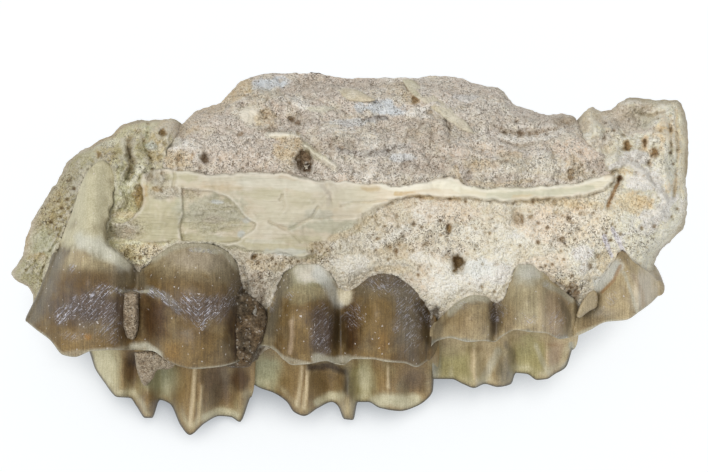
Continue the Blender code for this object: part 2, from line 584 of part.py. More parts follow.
def tooth(rails):
    """Skin the rails of a tooth with rings, and round its two ends."""
    at = np.unique([row[0] for name in ("neck", "tongue crest", "cheek crest") for row in rails[name]])
    while len(at) > TOOTH_STATIONS:
        gap = at[2:] - at[:-2]
        at = np.delete(at, np.argmin(gap) + 1)
    rows = []
    for names, places, count in TOOTH_FACES:
        stops = np.array([through(rails[name], at).ravel() for name in names])
        reading = np.linspace(0, 1, count, endpoint=False)
        rows.append(through(np.column_stack((places, stops)), reading).reshape(count, len(at), 3))
    rings = np.concatenate(rows).transpose(1, 0, 2)
    ends = []
    for ring, side in ((rings[0], -1), (rings[-1], 1)):
        middle = ring.mean(axis=0)
        caps = []
        reach = 0.0
        for size, push in zip(TOOTH_END_ROUND[::-1], TOOTH_END_REACH):
            reach += push * GRID_PER_MM * side
            caps.append(middle + (ring - middle) * size + (reach, 0, 0))
        ends.append(caps)
    rings = np.concatenate((ends[0][::-1], rings, ends[1]))
    mesh = bmesh.new()
    loops = [[mesh.verts.new(p) for p in place(ring)] for ring in rings]
    for one, two in zip(loops, loops[1:]):
        for k in range(len(one)):
            n = (k + 1) % len(one)
            mesh.faces.new((one[k], one[n], two[n], two[k]))
    for loop in (loops[0], loops[-1]):
        centre = mesh.verts.new(sum((v.co for v in loop), Vector()) / len(loop))
        for k in range(len(loop)):
            mesh.faces.new((loop[k], loop[(k + 1) % len(loop)], centre))
    bmesh.ops.triangulate(mesh, faces=mesh.faces)
    bmesh.ops.recalc_face_normals(mesh, faces=mesh.faces)
    return mesh


def material(name, finish):
    """Plain finish for one kind of piece."""
    made = bpy.data.materials.new(name)
    made.use_nodes = True
    shader = made.node_tree.nodes["Principled BSDF"]
    colour, roughness = finish
    shader.inputs["Base Color"].default_value = colour
    shader.inputs["Roughness"].default_value = roughness
    shader.inputs["Metallic"].default_value = 0.0
    return made


def add_piece(name, mesh, finish, parent):
    """Make a named object from a mesh."""
    data = bpy.data.meshes.new(name)
    mesh.to_mesh(data)
    mesh.free()
    data.shade_flat()
    data.materials.append(finish)
    made = bpy.data.objects.new(name, data)
    bpy.context.collection.objects.link(made)
    made.parent = parent
    return made


def grown(piece, reach):
    """Copy of a piece whose surface is moved out, to cut room for it from a neighbour."""
    copy = bpy.data.objects.new(piece.name + "_room", piece.data.copy())
    bpy.context.collection.objects.link(copy)
    copy.parent = piece.parent
    copy.hide_render = True
    copy.display_type = "WIRE"
    mesh = bmesh.new()
    mesh.from_mesh(copy.data)
    mesh.normal_update()
    moves = [v.normal * reach * min(v.calc_shell_factor(), EDGE_LIMIT) for v in mesh.verts]
    for v, move in zip(mesh.verts, moves):
        v.co += move
    mesh.to_mesh(copy.data)
    mesh.free()
    return copy


def largest_part(mesh):
    """Delete every loose part of a mesh except the largest."""
    left, parts = set(mesh.verts), []
    while left:
        seed = left.pop()
        part, edge = {seed}, [seed]
        while edge:
            for link in edge.pop().link_edges:
                for v in link.verts:
                    if v in left:
                        left.remove(v)
                        part.add(v)
                        edge.append(v)
        parts.append(part)
    parts.sort(key=len)
    loose = [v for part in parts[:-1] for v in part]
    bmesh.ops.delete(mesh, geom=loose, context="VERTS")


def carve(piece, cutters):
    """Cut the cutters from a piece and keep its largest part."""
    for cutter in cutters:
        cut = piece.modifiers.new("room", "BOOLEAN")
        cut.operation = "DIFFERENCE"
        cut.solver = "EXACT"
        cut.use_self = True
        cut.object = cutter
    bpy.context.view_layer.update()
    shape = piece.evaluated_get(bpy.context.evaluated_depsgraph_get())
    result = bpy.data.meshes.new_from_object(shape)
    mesh = bmesh.new()
    mesh.from_mesh(result)
    bmesh.ops.remove_doubles(mesh, verts=mesh.verts, dist=CUT_WELD)
    largest_part(mesh)
    bmesh.ops.triangulate(mesh, faces=[f for f in mesh.faces if len(f.verts) > 3])
    mesh.to_mesh(result)
    mesh.free()
    piece.modifiers.clear()
    piece.data = result


def wear_block(parent):
    """Block under the floor that wears the cheek side flat."""
    mesh = bmesh.new()
    bmesh.ops.create_cube(mesh, size=1.0)
    for v in mesh.verts:
        v.co = Vector(v.co[i] * WEAR_BLOCK[i] for i in range(3))
        v.co.z += FLOOR * MM - WEAR_BLOCK[2] / 2
        y, z = v.co.y, v.co.z
        v.co.y = y * math.cos(LEAN) + z * math.sin(LEAN)
        v.co.z = z * math.cos(LEAN) - y * math.sin(LEAN)
    block = add_piece("wear_block", mesh, material("wear", BONE_FINISH), parent)
    block.hide_render = True
    block.display_type = "WIRE"
    return block


def sliver(outline, surface, height, depth):
    """Thin chip that lies in a surface, domed a little above it."""
    path = closed_curve(outline, SLIVER_STEP)

    def rim(x, y):
        return surface(x, y) - height * SLIVER_RIM

    def front(x, y):
        return surface(x, y) + height

    def back(x, y):
        return surface(x, y) - depth

    return pebble(path, rim, front, back, steps=(SLIVER_STEP, SLIVER_STEP), rings=SLIVER_RINGS,
                  rounds=(SLIVER_ROUND, SLIVER_ROUND))


def jawbone():
    """The jawbone before its neighbours are cut out of it, with lines kept along the shelf's edge."""
    shelf = closed_curve(PALATE_SHELF, OUTLINE_STEP)
    along = np.roll(shelf, -1, axis=0) - np.roll(shelf, 1, axis=0)
    outward = np.column_stack((along[:, 1], -along[:, 0])) / np.hypot(*along.T)[:, None]
    step = outward * SHELF_EDGE * SHELF_LINES
    path = closed_curve(BONE_OUTLINE, OUTLINE_STEP)
    return pebble(path, bone_rim, bone_front, cheek_back, lines=(shelf + step, shelf - step))


def sandy_rock():
    """The rock in the hollow above the shelf."""
    path = closed_curve(MATRIX_OUTLINE, OUTLINE_STEP)
    return pebble(path, level(MATRIX_RIM), matrix_front, matrix_back, steps=MATRIX_STEPS,
                  rings=MATRIX_RINGS, rounds=(matrix_round, MATRIX_BACK_ROUND))


def enamel_chip():
    """The flat wedge of enamel beside the premolar."""
    path = closed_curve(PREMOLAR_CHIP, CHIP_STEP)
    middle = level((CHIP_FRONT + CHIP_BACK) / 2)
    return pebble(path, middle, level(CHIP_FRONT), level(CHIP_BACK), steps=(CHIP_STEP, CHIP_STEP),
                  rings=CHIP_RINGS, rounds=(CHIP_ROUND, CHIP_ROUND))


def build():
    """Make every piece, leaned as it lies, and cut each one clear of its neighbours."""
    clear_scene()
    lean = bpy.data.objects.new("lean", None)
    bpy.context.collection.objects.link(lean)
    lean.rotation_euler = (LEAN, 0, 0)
    lean.location = HOME

    bone = material("bone", BONE_FINISH)
    rock = material("rock", MATRIX_FINISH)
    dark = material("enamel_dark", ENAMEL_DARK)
    light = material("enamel_light", ENAMEL_LIGHT)
    chip = material("bone_sliver", SLIVER_FINISH)

    maxilla = add_piece("maxilla", jawbone(), bone, lean)
    matrix = add_piece("matrix", sandy_rock(), rock, lean)
    molar_2 = add_piece("molar_2", tooth(MOLAR_2), dark, lean)
    molar_3 = add_piece("molar_3", tooth(MOLAR_3), dark, lean)
    molar_1 = add_piece("molar_1", tooth(MOLAR_1), light, lean)
    premolar = add_piece("premolar_4", tooth(PREMOLAR_4), light, lean)
    wedge = add_piece("premolar_chip", enamel_chip(), light, lean)
    oval, slab = (
        add_piece(name, sliver(outline, matrix_front, SLIVER_HEIGHT, SLIVER_DEPTH), chip, lean)
        for name, outline in (("bone_sliver_oval", OVAL_SLIVER), ("bone_sliver_slab", SLAB_SLIVER))
    )

    carve(molar_3, [grown(molar_2, GAP)])
    carve(molar_1, [grown(molar_2, GAP)])
    carve(premolar, [grown(molar_1, GAP), grown(wedge, GAP)])
    carve(matrix, [grown(oval, GAP), grown(slab, GAP)])
    teeth = [grown(item, GAP) for item in (molar_3, molar_2, molar_1, premolar, wedge)]
    carve(maxilla, [grown(matrix, GAP)] + teeth + [wear_block(lean)])
    for item in list(bpy.data.objects):
        if item.hide_render:
            bpy.data.objects.remove(item, do_unlink=True)


build()
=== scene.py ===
"""Looks of the fossil oreodont jaw section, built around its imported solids.

Shapes are drawn on the tracing grid of the part: one grid unit is a tenth of a millimetre, x runs to
the right, y runs down and depth is in millimetres towards the viewer of the tongue side. A piece is
worked out on the grid, then placed in the part's frame, where the jaw leans back on its cheek side.
"""
import json
import math

import bpy
import numpy as np
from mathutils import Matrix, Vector, geometry

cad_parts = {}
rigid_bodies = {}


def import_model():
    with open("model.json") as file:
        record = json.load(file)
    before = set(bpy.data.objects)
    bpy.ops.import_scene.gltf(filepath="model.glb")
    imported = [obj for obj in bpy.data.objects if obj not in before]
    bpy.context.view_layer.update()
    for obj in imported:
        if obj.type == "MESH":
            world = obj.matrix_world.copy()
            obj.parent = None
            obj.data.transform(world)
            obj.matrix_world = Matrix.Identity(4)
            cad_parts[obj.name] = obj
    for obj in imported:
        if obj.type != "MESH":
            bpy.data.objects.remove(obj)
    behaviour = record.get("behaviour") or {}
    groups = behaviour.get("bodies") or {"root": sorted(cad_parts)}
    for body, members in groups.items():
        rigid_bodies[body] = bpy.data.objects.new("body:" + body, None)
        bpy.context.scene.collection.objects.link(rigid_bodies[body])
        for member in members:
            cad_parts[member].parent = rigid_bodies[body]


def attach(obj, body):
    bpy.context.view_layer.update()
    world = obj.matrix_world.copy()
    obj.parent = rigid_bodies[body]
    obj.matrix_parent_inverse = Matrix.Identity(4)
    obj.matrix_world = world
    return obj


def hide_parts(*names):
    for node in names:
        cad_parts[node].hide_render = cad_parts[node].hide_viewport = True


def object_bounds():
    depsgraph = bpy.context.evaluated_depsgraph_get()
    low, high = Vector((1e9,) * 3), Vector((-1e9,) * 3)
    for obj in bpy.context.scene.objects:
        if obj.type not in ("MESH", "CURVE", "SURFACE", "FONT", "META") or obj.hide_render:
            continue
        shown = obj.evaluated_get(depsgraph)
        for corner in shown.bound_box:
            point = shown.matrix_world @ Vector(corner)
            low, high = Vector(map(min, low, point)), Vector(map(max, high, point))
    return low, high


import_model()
CAD_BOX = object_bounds()

# Driving dimensions of the part, in metres
JAW_LENGTH = 0.0676
SIGHT = 0.393
LEAN = math.radians(25)
HOME = (0.0, -0.001734, 0.0126)

# The tracing grid
GRID_ACROSS = 676
UNIT = JAW_LENGTH / GRID_ACROSS
MM = 10 * UNIT
GRID_ORIGIN = (350, 254)
SIGHT_POINT = (354, 236)
PICTURE_WIDTH = 708

# Point spacing of the modelled surfaces, in grid units
FINE = 1.25
ROCK_FINE = 1.15
BACK_FINE = 3.4
HIDDEN_SHARE = 4
RIM_RINGS = (0.8, 2.2, 4.0)
FRONT_ROUND = 30
BACK_ROUND = 50

# Depth nets in millimetres: rows run down the jaw, columns run along it
NET_START = (0, 60)
NET_STEP = (100, 60)
FACE_NET = (
    (-6.0, -5.0, -4.0, -4.0, -4.0, -4.0, -4.0, -5.0),
    (-5.0, -0.8, 2.0, 2.6, 2.6, 2.0, 0.8, -1.5),
    (-4.0, 3.6, 5.4, 6.0, 6.0, 5.4, 3.6, 0.0),
    (-3.0, 4.4, 5.8, 5.4, 5.2, 4.6, 3.2, 0.0),
    (-2.0, 3.6, 5.0, 4.8, 4.8, 3.9, 2.4, -1.0),
    (-3.0, 1.0, 2.0, 2.0, 2.0, 1.2, 0.0, -3.0),
)
CHEEK_NET = (
    (-6.0, -7.0, -8.0, -8.0, -8.0, -8.0, -7.0, -6.0),
    (-7.0, -9.0, -11.5, -12.5, -12.5, -11.0, -9.0, -7.0),
    (-8.0, -11.0, -14.0, -16.5, -16.5, -14.0, -10.5, -7.5),
    (-8.0, -12.0, -15.5, -17.0, -17.0, -15.0, -10.5, -7.5),
    (-8.0, -11.0, -13.5, -14.5, -14.2, -12.6, -9.0, -7.0),
    (-7.0, -9.0, -10.0, -10.5, -10.5, -9.5, -7.5, -6.0),
)
BONE_RIM = -4.5
BONE_TOP_RIM = -7.5
MATRIX_RIM = -3.6
MATRIX_BACK = -6.2
MATRIX_BED = 2.6

# Outlines on the tracing grid
BONE_OUTLINE = (
    (12, 272), (20, 260), (25, 250), (27, 240), (33, 222), (38, 212), (50, 192), (62, 175), (70, 160),
    (84, 150), (98, 142), (110, 136), (122, 126), (133, 121), (155, 120), (172, 119), (181, 125), (192, 137),
    (215, 132), (245, 116), (290, 104), (340, 104), (400, 106), (460, 110), (500, 120), (540, 136),
    (562, 138), (573, 128), (581, 117), (592, 107), (600, 111), (610, 110), (618, 103), (632, 98), (655, 100),
    (675, 100), (682, 104), (685, 118), (688, 150), (686, 180), (688, 195), (686, 215), (682, 228),
    (672, 240), (662, 250), (656, 258), (652, 278), (640, 296), (610, 303), (575, 316), (530, 326),
    (470, 332), (430, 336), (400, 338), (340, 340), (290, 345), (266, 352), (252, 364), (242, 364),
    (230, 350), (190, 345), (140, 345), (100, 335), (60, 326), (40, 322), (27, 318), (32, 310), (33, 300),
    (28, 288), (20, 283), (14, 279),
)
MATRIX_OUTLINE = (
    (172, 136), (179, 126), (183, 122), (196, 112), (212, 106), (220, 104), (227, 96), (240, 82), (258, 75),
    (275, 73), (310, 73), (330, 75), (350, 78), (400, 78), (440, 76), (455, 77), (475, 83), (492, 86),
    (505, 92), (510, 100), (515, 105), (530, 110), (543, 114), (566, 114), (576, 119), (584, 130), (598, 145),
    (611, 160), (612, 182), (600, 190), (565, 193), (530, 197), (500, 200), (462, 197), (430, 191),
    (400, 194), (360, 191), (330, 187), (300, 183), (270, 179), (240, 180), (200, 180), (170, 179),
    (157, 165), (164, 150),
)
PALATE_SHELF = (
    (150, 168), (180, 170), (200, 173), (240, 173), (270, 172), (300, 176), (330, 180), (360, 183),
    (400, 186), (430, 180), (455, 177), (464, 185), (500, 188), (530, 186), (565, 182), (600, 178),
    (613, 176), (606, 189), (580, 197), (540, 199), (500, 201), (460, 198), (430, 196), (400, 198),
    (372, 212), (358, 222), (345, 228), (331, 240), (320, 254), (308, 258), (290, 254), (250, 250),
    (205, 240), (170, 243), (135, 239), (106, 238), (108, 228), (125, 222), (140, 210), (143, 195),
    (140, 180),
)
SHELF_EDGE = 2.6
SHELF_ALONG = (105, 150, 260, 360, 420, 610)
SHELF_HEIGHT = (0.5, 1.1, 1.3, 1.1, 1.6, 1.5)
SHELF_FALL = 0.9

# Raised lumps and sunk pits: x, y, half width, half height, depth change in millimetres
BONE_LUMPS = (
    (22, 268, 14, 12, 3.4), (140, 128, 22, 10, 1.6), (166, 132, 14, 12, 1.4), (124, 150, 12, 16, 0.9),
    (143, 165, 14, 10, 0.9), (141, 200, 9, 14, -0.5), (248, 335, 15, 34, 4.6), (592, 116, 10, 12, 1.8),
    (570, 150, 24, 22, 0.8), (634, 118, 24, 14, -1.4), (628, 106, 18, 7, 1), (660, 140, 20, 24, 0.9),
    (640, 172, 26, 14, 1.2), (676, 130, 10, 34, 1.6), (636, 205, 24, 12, -0.3), (655, 152, 8, 7, -0.5),
    (628, 147, 8, 6, -0.5), (458, 262, 7, 9, -1.3), (518, 215, 6, 10, -0.9), (430, 250, 46, 26, 0.5),
    (575, 262, 22, 16, 0.6), (132, 250, 16, 14, 1.2), (350, 258, 22, 16, 0.6), (52, 205, 14, 30, -0.8),
    (36, 290, 10, 30, 1.6), (372, 226, 26, 13, 0.7), (340, 246, 16, 9, 0.6),
)
MATRIX_LUMPS = (
    (303, 163, 9, 9, -1.4), (294, 139, 26, 10, 0.9), (230, 150, 40, 16, 0.4), (225, 118, 26, 12, 0.8),
    (262, 92, 24, 14, 0.7), (300, 120, 60, 8, -0.5), (370, 120, 30, 16, -0.6), (350, 150, 44, 14, 0.6),
    (430, 150, 50, 18, 0.5), (400, 92, 40, 10, 0.4), (470, 105, 30, 12, 0.6), (520, 130, 34, 8, -0.9),
    (548, 122, 30, 6, 0.7), (568, 124, 12, 7, -1.6), (545, 165, 44, 12, 0.7), (480, 160, 22, 12, -0.5),
    (180, 160, 4, 5, -0.6), (205, 158, 5, 6, -0.9), (200, 130, 20, 8, -0.4),
)
CHEEK_LUMPS = (
    (70, 262, 12, 46, -1.1), (112, 268, 12, 42, -1.1), (165, 272, 13, 40, -0.9), (520, 258, 12, 40, -1),
    (560, 250, 11, 40, -1.1), (618, 236, 13, 36, -1), (90, 200, 16, 30, 1.2), (590, 170, 26, 20, 1.6),
    (330, 140, 90, 14, -1.2), (420, 172, 60, 12, 1.4), (230, 165, 40, 14, 1.3), (650, 190, 18, 34, -1),
)

# Slow and quick waviness of the broken surfaces: size of a wave in grid units, its height, its seed
BONE_WAVES = ((62, 0.55, 11), (26, 0.28, 12))
MATRIX_WAVES = ((58, 0.6, 21), (24, 0.36, 22))
CHEEK_WAVES = ((90, 0.9, 31), (38, 0.35, 32))

# Ridges and grooves of the jawbone: rise, half width, line
BONE_RIDGES = (
    (0.7, 3, ((122, 140), (124, 152), (121, 164))), (0.8, 7, ((136, 146), (138, 158))),
    (-0.5, 4, ((152, 152), (152, 168), (147, 184))),
    (-0.8, 3, ((131, 136), (129, 150), (133, 164), (126, 178))),
    (-0.6, 3, ((148, 130), (146, 146), (150, 158))), (0.6, 6, ((112, 176), (118, 200), (112, 214))),
    (-0.4, 6, ((144, 186), (137, 204))), (0.5, 4, ((142, 166), (136, 176), (128, 184))),
    (0.6, 5, ((120, 168), (124, 188), (120, 206))), (0.6, 5, ((168, 124), (160, 124))),
    (0.5, 4, ((96, 146), (112, 144))), (0.5, 4, ((72, 166), (84, 156))),
    (-0.7, 6, ((66, 184), (60, 204), (54, 222))), (0.5, 5, ((36, 236), (44, 244), (52, 240))),
    (0.7, 6, ((112, 226), (126, 224), (136, 228))), (0.8, 4, ((602, 162), (620, 156), (638, 152))),
    (0.7, 6, ((628, 184), (648, 184), (668, 184))), (-0.2, 8, ((622, 200), (646, 206))),
    (0.6, 3, ((614, 190), (640, 189), (652, 202), (662, 214))),
    (0.9, 3.5, ((682, 108), (685, 140), (685, 180), (686, 210))),
    (-0.8, 3, ((672, 106), (670, 140), (673, 172))), (-1.1, 11, ((620, 119), (646, 118))),
    (0.9, 4, ((612, 106), (630, 100), (655, 101), (668, 106))), (0.6, 5, ((654, 130), (662, 142))),
    (0.6, 6, ((596, 128), (600, 132))), (-0.6, 5, ((582, 124), (586, 132))),
    (0.5, 5, ((620, 142), (616, 150))), (-0.5, 3, ((640, 156), (652, 166), (650, 178))),
    (0.5, 5, ((664, 160), (662, 172))), (0.9, 3, ((663, 116), (668, 138), (664, 160), (670, 192))),
    (-0.8, 2, ((676, 110), (678, 150), (674, 196))),
    (0.9, 3, ((606, 170), (625, 162), (640, 170), (655, 186), (668, 202))),
    (-0.7, 2, ((600, 176), (616, 170))), (-0.7, 2.5, ((598, 116), (606, 124), (604, 138))),
    (0.7, 3, ((588, 118), (596, 124), (610, 128))), (0.6, 3, ((614, 128), (622, 136), (634, 138))),
    (-0.6, 2, ((636, 112), (650, 116), (664, 112))),
)
# Cracks and flaked edges of the palate shelf: depth, half width, line
SHELF_CRACKS = (
    (0.14, 1.4, ((182, 186), (183, 201), (183, 209), (180, 214), (182, 221), (179, 227), (182, 232),
     (184, 242))), (0.25, 1.1, ((283, 194), (280, 200))),
    (0.14, 1.2, ((302, 198), (322, 199), (330, 192), (333, 203))),
    (0.28, 1.1, ((341, 206), (353, 203), (370, 202), (392, 200))),
    (0.3, 1.2, ((318, 207), (312, 217), (298, 225), (289, 229), (279, 226), (269, 222))),
    (0.22, 1, ((312, 218), (322, 219), (332, 217), (354, 217))),
    (0.14, 1.2, ((279, 215), (285, 207), (282, 194))), (0.18, 1, ((279, 227), (289, 232), (301, 242))),
    (0.3, 1.1, ((312, 252), (314, 259))), (0.35, 1.6, ((174, 169), (175, 177), (173, 186), (177, 192))),
)
# Where a layer of the shelf has flaked away
SHELF_FLAKE = (
    (182, 189), (191, 190), (199, 191), (210, 191), (217, 194), (225, 196), (233, 202), (239, 209),
    (244, 216), (251, 221), (256, 224), (254, 229), (243, 236), (238, 241), (222, 243), (200, 243),
    (183, 242), (180, 227), (183, 212),
)
FLAKE_DEPTH = 0.6
FLAKE_EDGE = 2.4
# Open cracks of the bone
BONE_CRACKS = (
    (0.6, 1.5, ((62, 227), (57, 241), (52, 248), (49, 253), (46, 262), (42, 272), (40, 284), (38, 298))),
    (0.5, 1.6, ((50, 251), (42, 254), (37, 260), (30, 267), (24, 273))),
    (0.6, 2, ((620, 176), (618, 184), (613, 193), (611, 198), (608, 208))),
    (0.25, 1.3, ((673, 150), (686, 150))), (0.14, 1.5, ((671, 140), (673, 160), (677, 172), (684, 188))),
    (0.6, 1.5, ((652, 180), (657, 186))), (0.5, 2, ((129, 138), (128, 148), (130, 158))),
    (0.3, 1.6, ((150, 158), (154, 166), (149, 176), (148, 186))),
    (0.25, 1.4, ((152, 132), (158, 142), (154, 152))),
)
# Pits of the bone: x, y, half width, half height, depth in millimetres
BONE_PITS = (
    (74, 189, 3.4, 3.4, 1.1), (67, 200, 2.4, 2.4, 0.9), (62, 208, 2.2, 2.2, 0.8), (61, 217, 1.8, 1.8, 0.8),
    (51, 222, 2, 2, 0.8), (49, 212, 1.6, 1.6, 0.5), (70, 180, 2.4, 2, 0.6), (80, 196, 1.6, 2, 0.6),
    (60, 229, 3, 1.6, 0.5), (163, 132, 4, 3.4, 1.4), (137, 132, 4, 3, 0.6), (99, 155, 3, 3, 0.6),
    (139, 196, 6, 12, 0.3), (458, 264, 5.5, 8.5, 1.7), (449, 229, 2.4, 5, 1.1), (413, 224, 2.6, 2.4, 0.8),
    (396, 252, 2.3, 4, 0.9), (376, 250, 1.6, 2.6, 0.6), (397, 216, 1.2, 2.4, 0.5), (427, 244, 2.6, 2, 0.5),
    (522, 220, 1.6, 8, 0.5), (447, 256, 3, 3, 0.5), (467, 254, 2, 2, 0.4), (518, 219, 5.5, 9, 0.45),
    (642, 228, 2, 3, 0.8), (654, 226, 2.2, 2.2, 0.8), (621, 234, 1.7, 2.2, 0.8), (648, 242, 1.6, 1.6, 0.5),
    (598, 256, 1.8, 1.8, 0.7), (538, 243, 2.4, 2.4, 0.8), (562, 239, 3, 3, 0.8), (554, 202, 1.8, 2, 0.6),
    (531, 217, 2.6, 2.2, 0.7), (556, 212, 1.8, 1.8, 0.5), (583, 214, 4, 2.4, 0.5), (538, 223, 2, 1.8, 0.5),
    (627, 146, 3.4, 4.4, 0.8), (654, 153, 3.8, 4.6, 0.9), (649, 164, 2.4, 3, 0.6), (645, 142, 2, 5, 0.8),
    (620, 178, 4, 3, 0.8), (254, 257, 3.6, 2.4, 1.1), (261, 277, 2, 2, 0.5), (287, 152, 2, 2, 0.5),
    (546, 266, 2, 2, 0.5), (590, 266, 3, 4, 0.7), (572, 276, 3, 2, 0.6), (497, 264, 4, 2, 0.4),
    (485, 233, 2, 2, 0.4),
)
# Ridges of the rock: rise, half width, line
ROCK_RIDGES = (
    (0.8, 3.6, ((268, 135), (280, 134), (292, 133), (299, 137), (303, 144), (309, 150), (317, 155),
     (326, 160), (336, 167))), (0.35, 2.4, ((191, 124), (212, 126), (226, 131), (243, 136), (262, 138))),
    (0.3, 1.6, ((287, 96), (297, 103), (308, 105), (330, 108))), (0.3, 1.8, ((337, 130), (353, 131))),
    (0.4, 3, ((500, 126), (525, 128), (548, 126), (560, 124))),
    (0.3, 2.5, ((470, 150), (490, 160), (512, 158), (530, 166))),
    (0.4, 2.5, ((205, 113), (225, 108), (245, 100), (262, 100))),
    (-0.4, 2, ((342, 92), (350, 97), (358, 99), (380, 102))),
    (-0.5, 2.4, ((502, 140), (512, 145), (522, 147), (534, 142))),
    (-0.4, 1.6, ((501, 163), (510, 160), (516, 166), (526, 163))),
    (-0.7, 2.6, ((182, 124), (180, 132), (183, 138))),
)
# Pits of the rock, as in the bone
ROCK_PITS = (
    (303, 158, 9, 11, 1.2), (308, 167, 4.4, 4, 1.9), (178, 159, 2, 3, 0.6), (204, 158, 4, 4.6, 0.8),
    (220, 160, 1.6, 3.4, 0.5), (292, 119, 3, 2.6, 0.9), (298, 123, 2.6, 2.4, 0.9), (298, 133, 2.4, 3, 0.8),
    (241, 134, 2, 1.8, 0.7), (415, 99, 3, 4, 0.8), (378, 117, 5, 1.8, 0.4), (364, 121, 2, 2, 0.4),
    (259, 155, 1.6, 2, 0.4), (517, 121, 3, 3, 0.9), (521, 134, 4, 3, 0.7), (505, 133, 3, 3, 0.5),
    (536, 134, 3, 3, 0.5), (388, 151, 2.4, 2, 0.6), (448, 141, 2.4, 2, 0.5), (501, 147, 2, 1.6, 0.5),
    (470, 172, 2, 2, 0.4), (264, 116, 4, 4, 0.6), (270, 128, 6, 4, 0.4), (566, 122, 10, 4, 1),
    (571, 171, 3, 3, 0.9), (571, 178, 2.4, 2.2, 0.8), (582, 165, 2, 2, 0.6), (566, 160, 2, 2, 0.5),
    (580, 152, 1.8, 1.8, 0.5), (594, 172, 2, 2, 0.5), (330, 145, 4, 2.6, 0.4), (343, 148, 5, 2.6, 0.4),
)

# Teeth: rails that run from the left end to the right end of a tooth. A row is the place along the
# tooth from 0 to 1, then x, y and depth.
MOLAR_3 = {
    "neck": (
        (0, 61, 240, 3.2), (0.07, 72, 212, 3.8), (0.14, 82, 182, 4.4), (0.2, 90, 168, 4.9),
        (0.27, 102, 160, 5), (0.34, 113, 168, 4.9), (0.4, 122, 192, 5), (0.44, 127, 218, 5.2),
        (0.48, 132, 245, 5.4), (0.5, 137, 271, 5.4), (0.53, 144, 266, 5.4), (0.6, 160, 253, 5.6),
        (0.68, 180, 243, 5.9), (0.78, 202, 243, 5.9), (0.87, 222, 248, 5.4), (0.94, 236, 262, 4.6),
        (1, 243, 286, 3.4),
    ),
    "belly": (
        (0, 43, 290, 3), (0.12, 62, 288, 7), (0.25, 86, 288, 9.4), (0.38, 112, 290, 9.2),
        (0.47, 131, 297, 7.4), (0.5, 137, 300, 6.8), (0.53, 143, 298, 7.4), (0.62, 163, 297, 9.4),
        (0.75, 193, 296, 10.2), (0.88, 222, 300, 8.8), (1, 246, 312, 3.6),
    ),
    "tongue crest": (
        (0, 27, 322, 2.6), (0.05, 38, 331, 4.8), (0.11, 50, 340, 6.4), (0.18, 63, 355, 7.6),
        (0.25, 75, 357, 7.9), (0.32, 92, 351, 8), (0.42, 115, 350, 7.2), (0.5, 136, 350, 5.6),
        (0.55, 152, 351, 6.4), (0.61, 166, 360, 7.6), (0.7, 182, 367, 8.3), (0.76, 194, 369, 8.5),
        (0.86, 218, 367, 7.4), (0.94, 235, 363, 5.4), (1, 248, 354, 3),
    ),
    "valley": (
        (0, 44, 322, 0), (0.25, 84, 316, 1.4), (0.5, 140, 338, 1.2), (0.75, 192, 326, 1.4), (1, 249, 350, 0),
    ),
    "cheek crest": (
        (0, 62, 318, -4.8), (0.1, 78, 338, -5.2), (0.17, 91, 354, -5.4), (0.22, 94, 366, -5.2),
        (0.28, 104, 382, -4.6), (0.34, 117, 397, -4), (0.42, 130, 398, -4.6), (0.47, 137, 407, -5.2),
        (0.51, 145, 418, -5.4), (0.55, 152, 418, -5.4), (0.6, 160, 400, -5.2), (0.66, 170, 404, -4.6),
        (0.73, 181, 426, -4), (0.78, 190, 435, -3.8), (0.84, 205, 423, -4), (0.9, 220, 416, -4.6),
        (0.94, 231, 417, -5), (0.97, 240, 422, -5.2), (1, 250, 398, -5),
    ),
    "cheek belly": (
        (0, 58, 296, -7.4), (0.25, 100, 340, -7.6), (0.4, 126, 350, -7.4), (0.53, 148, 356, -8.6),
        (0.66, 172, 356, -7.6), (0.8, 196, 362, -7.6), (1, 244, 352, -8),
    ),
    "cheek neck": (
        (0, 62, 264, -7), (0.3, 104, 296, -8.6), (0.53, 148, 300, -9.2), (0.8, 196, 302, -9),
        (1, 242, 300, -8),
    ),
}
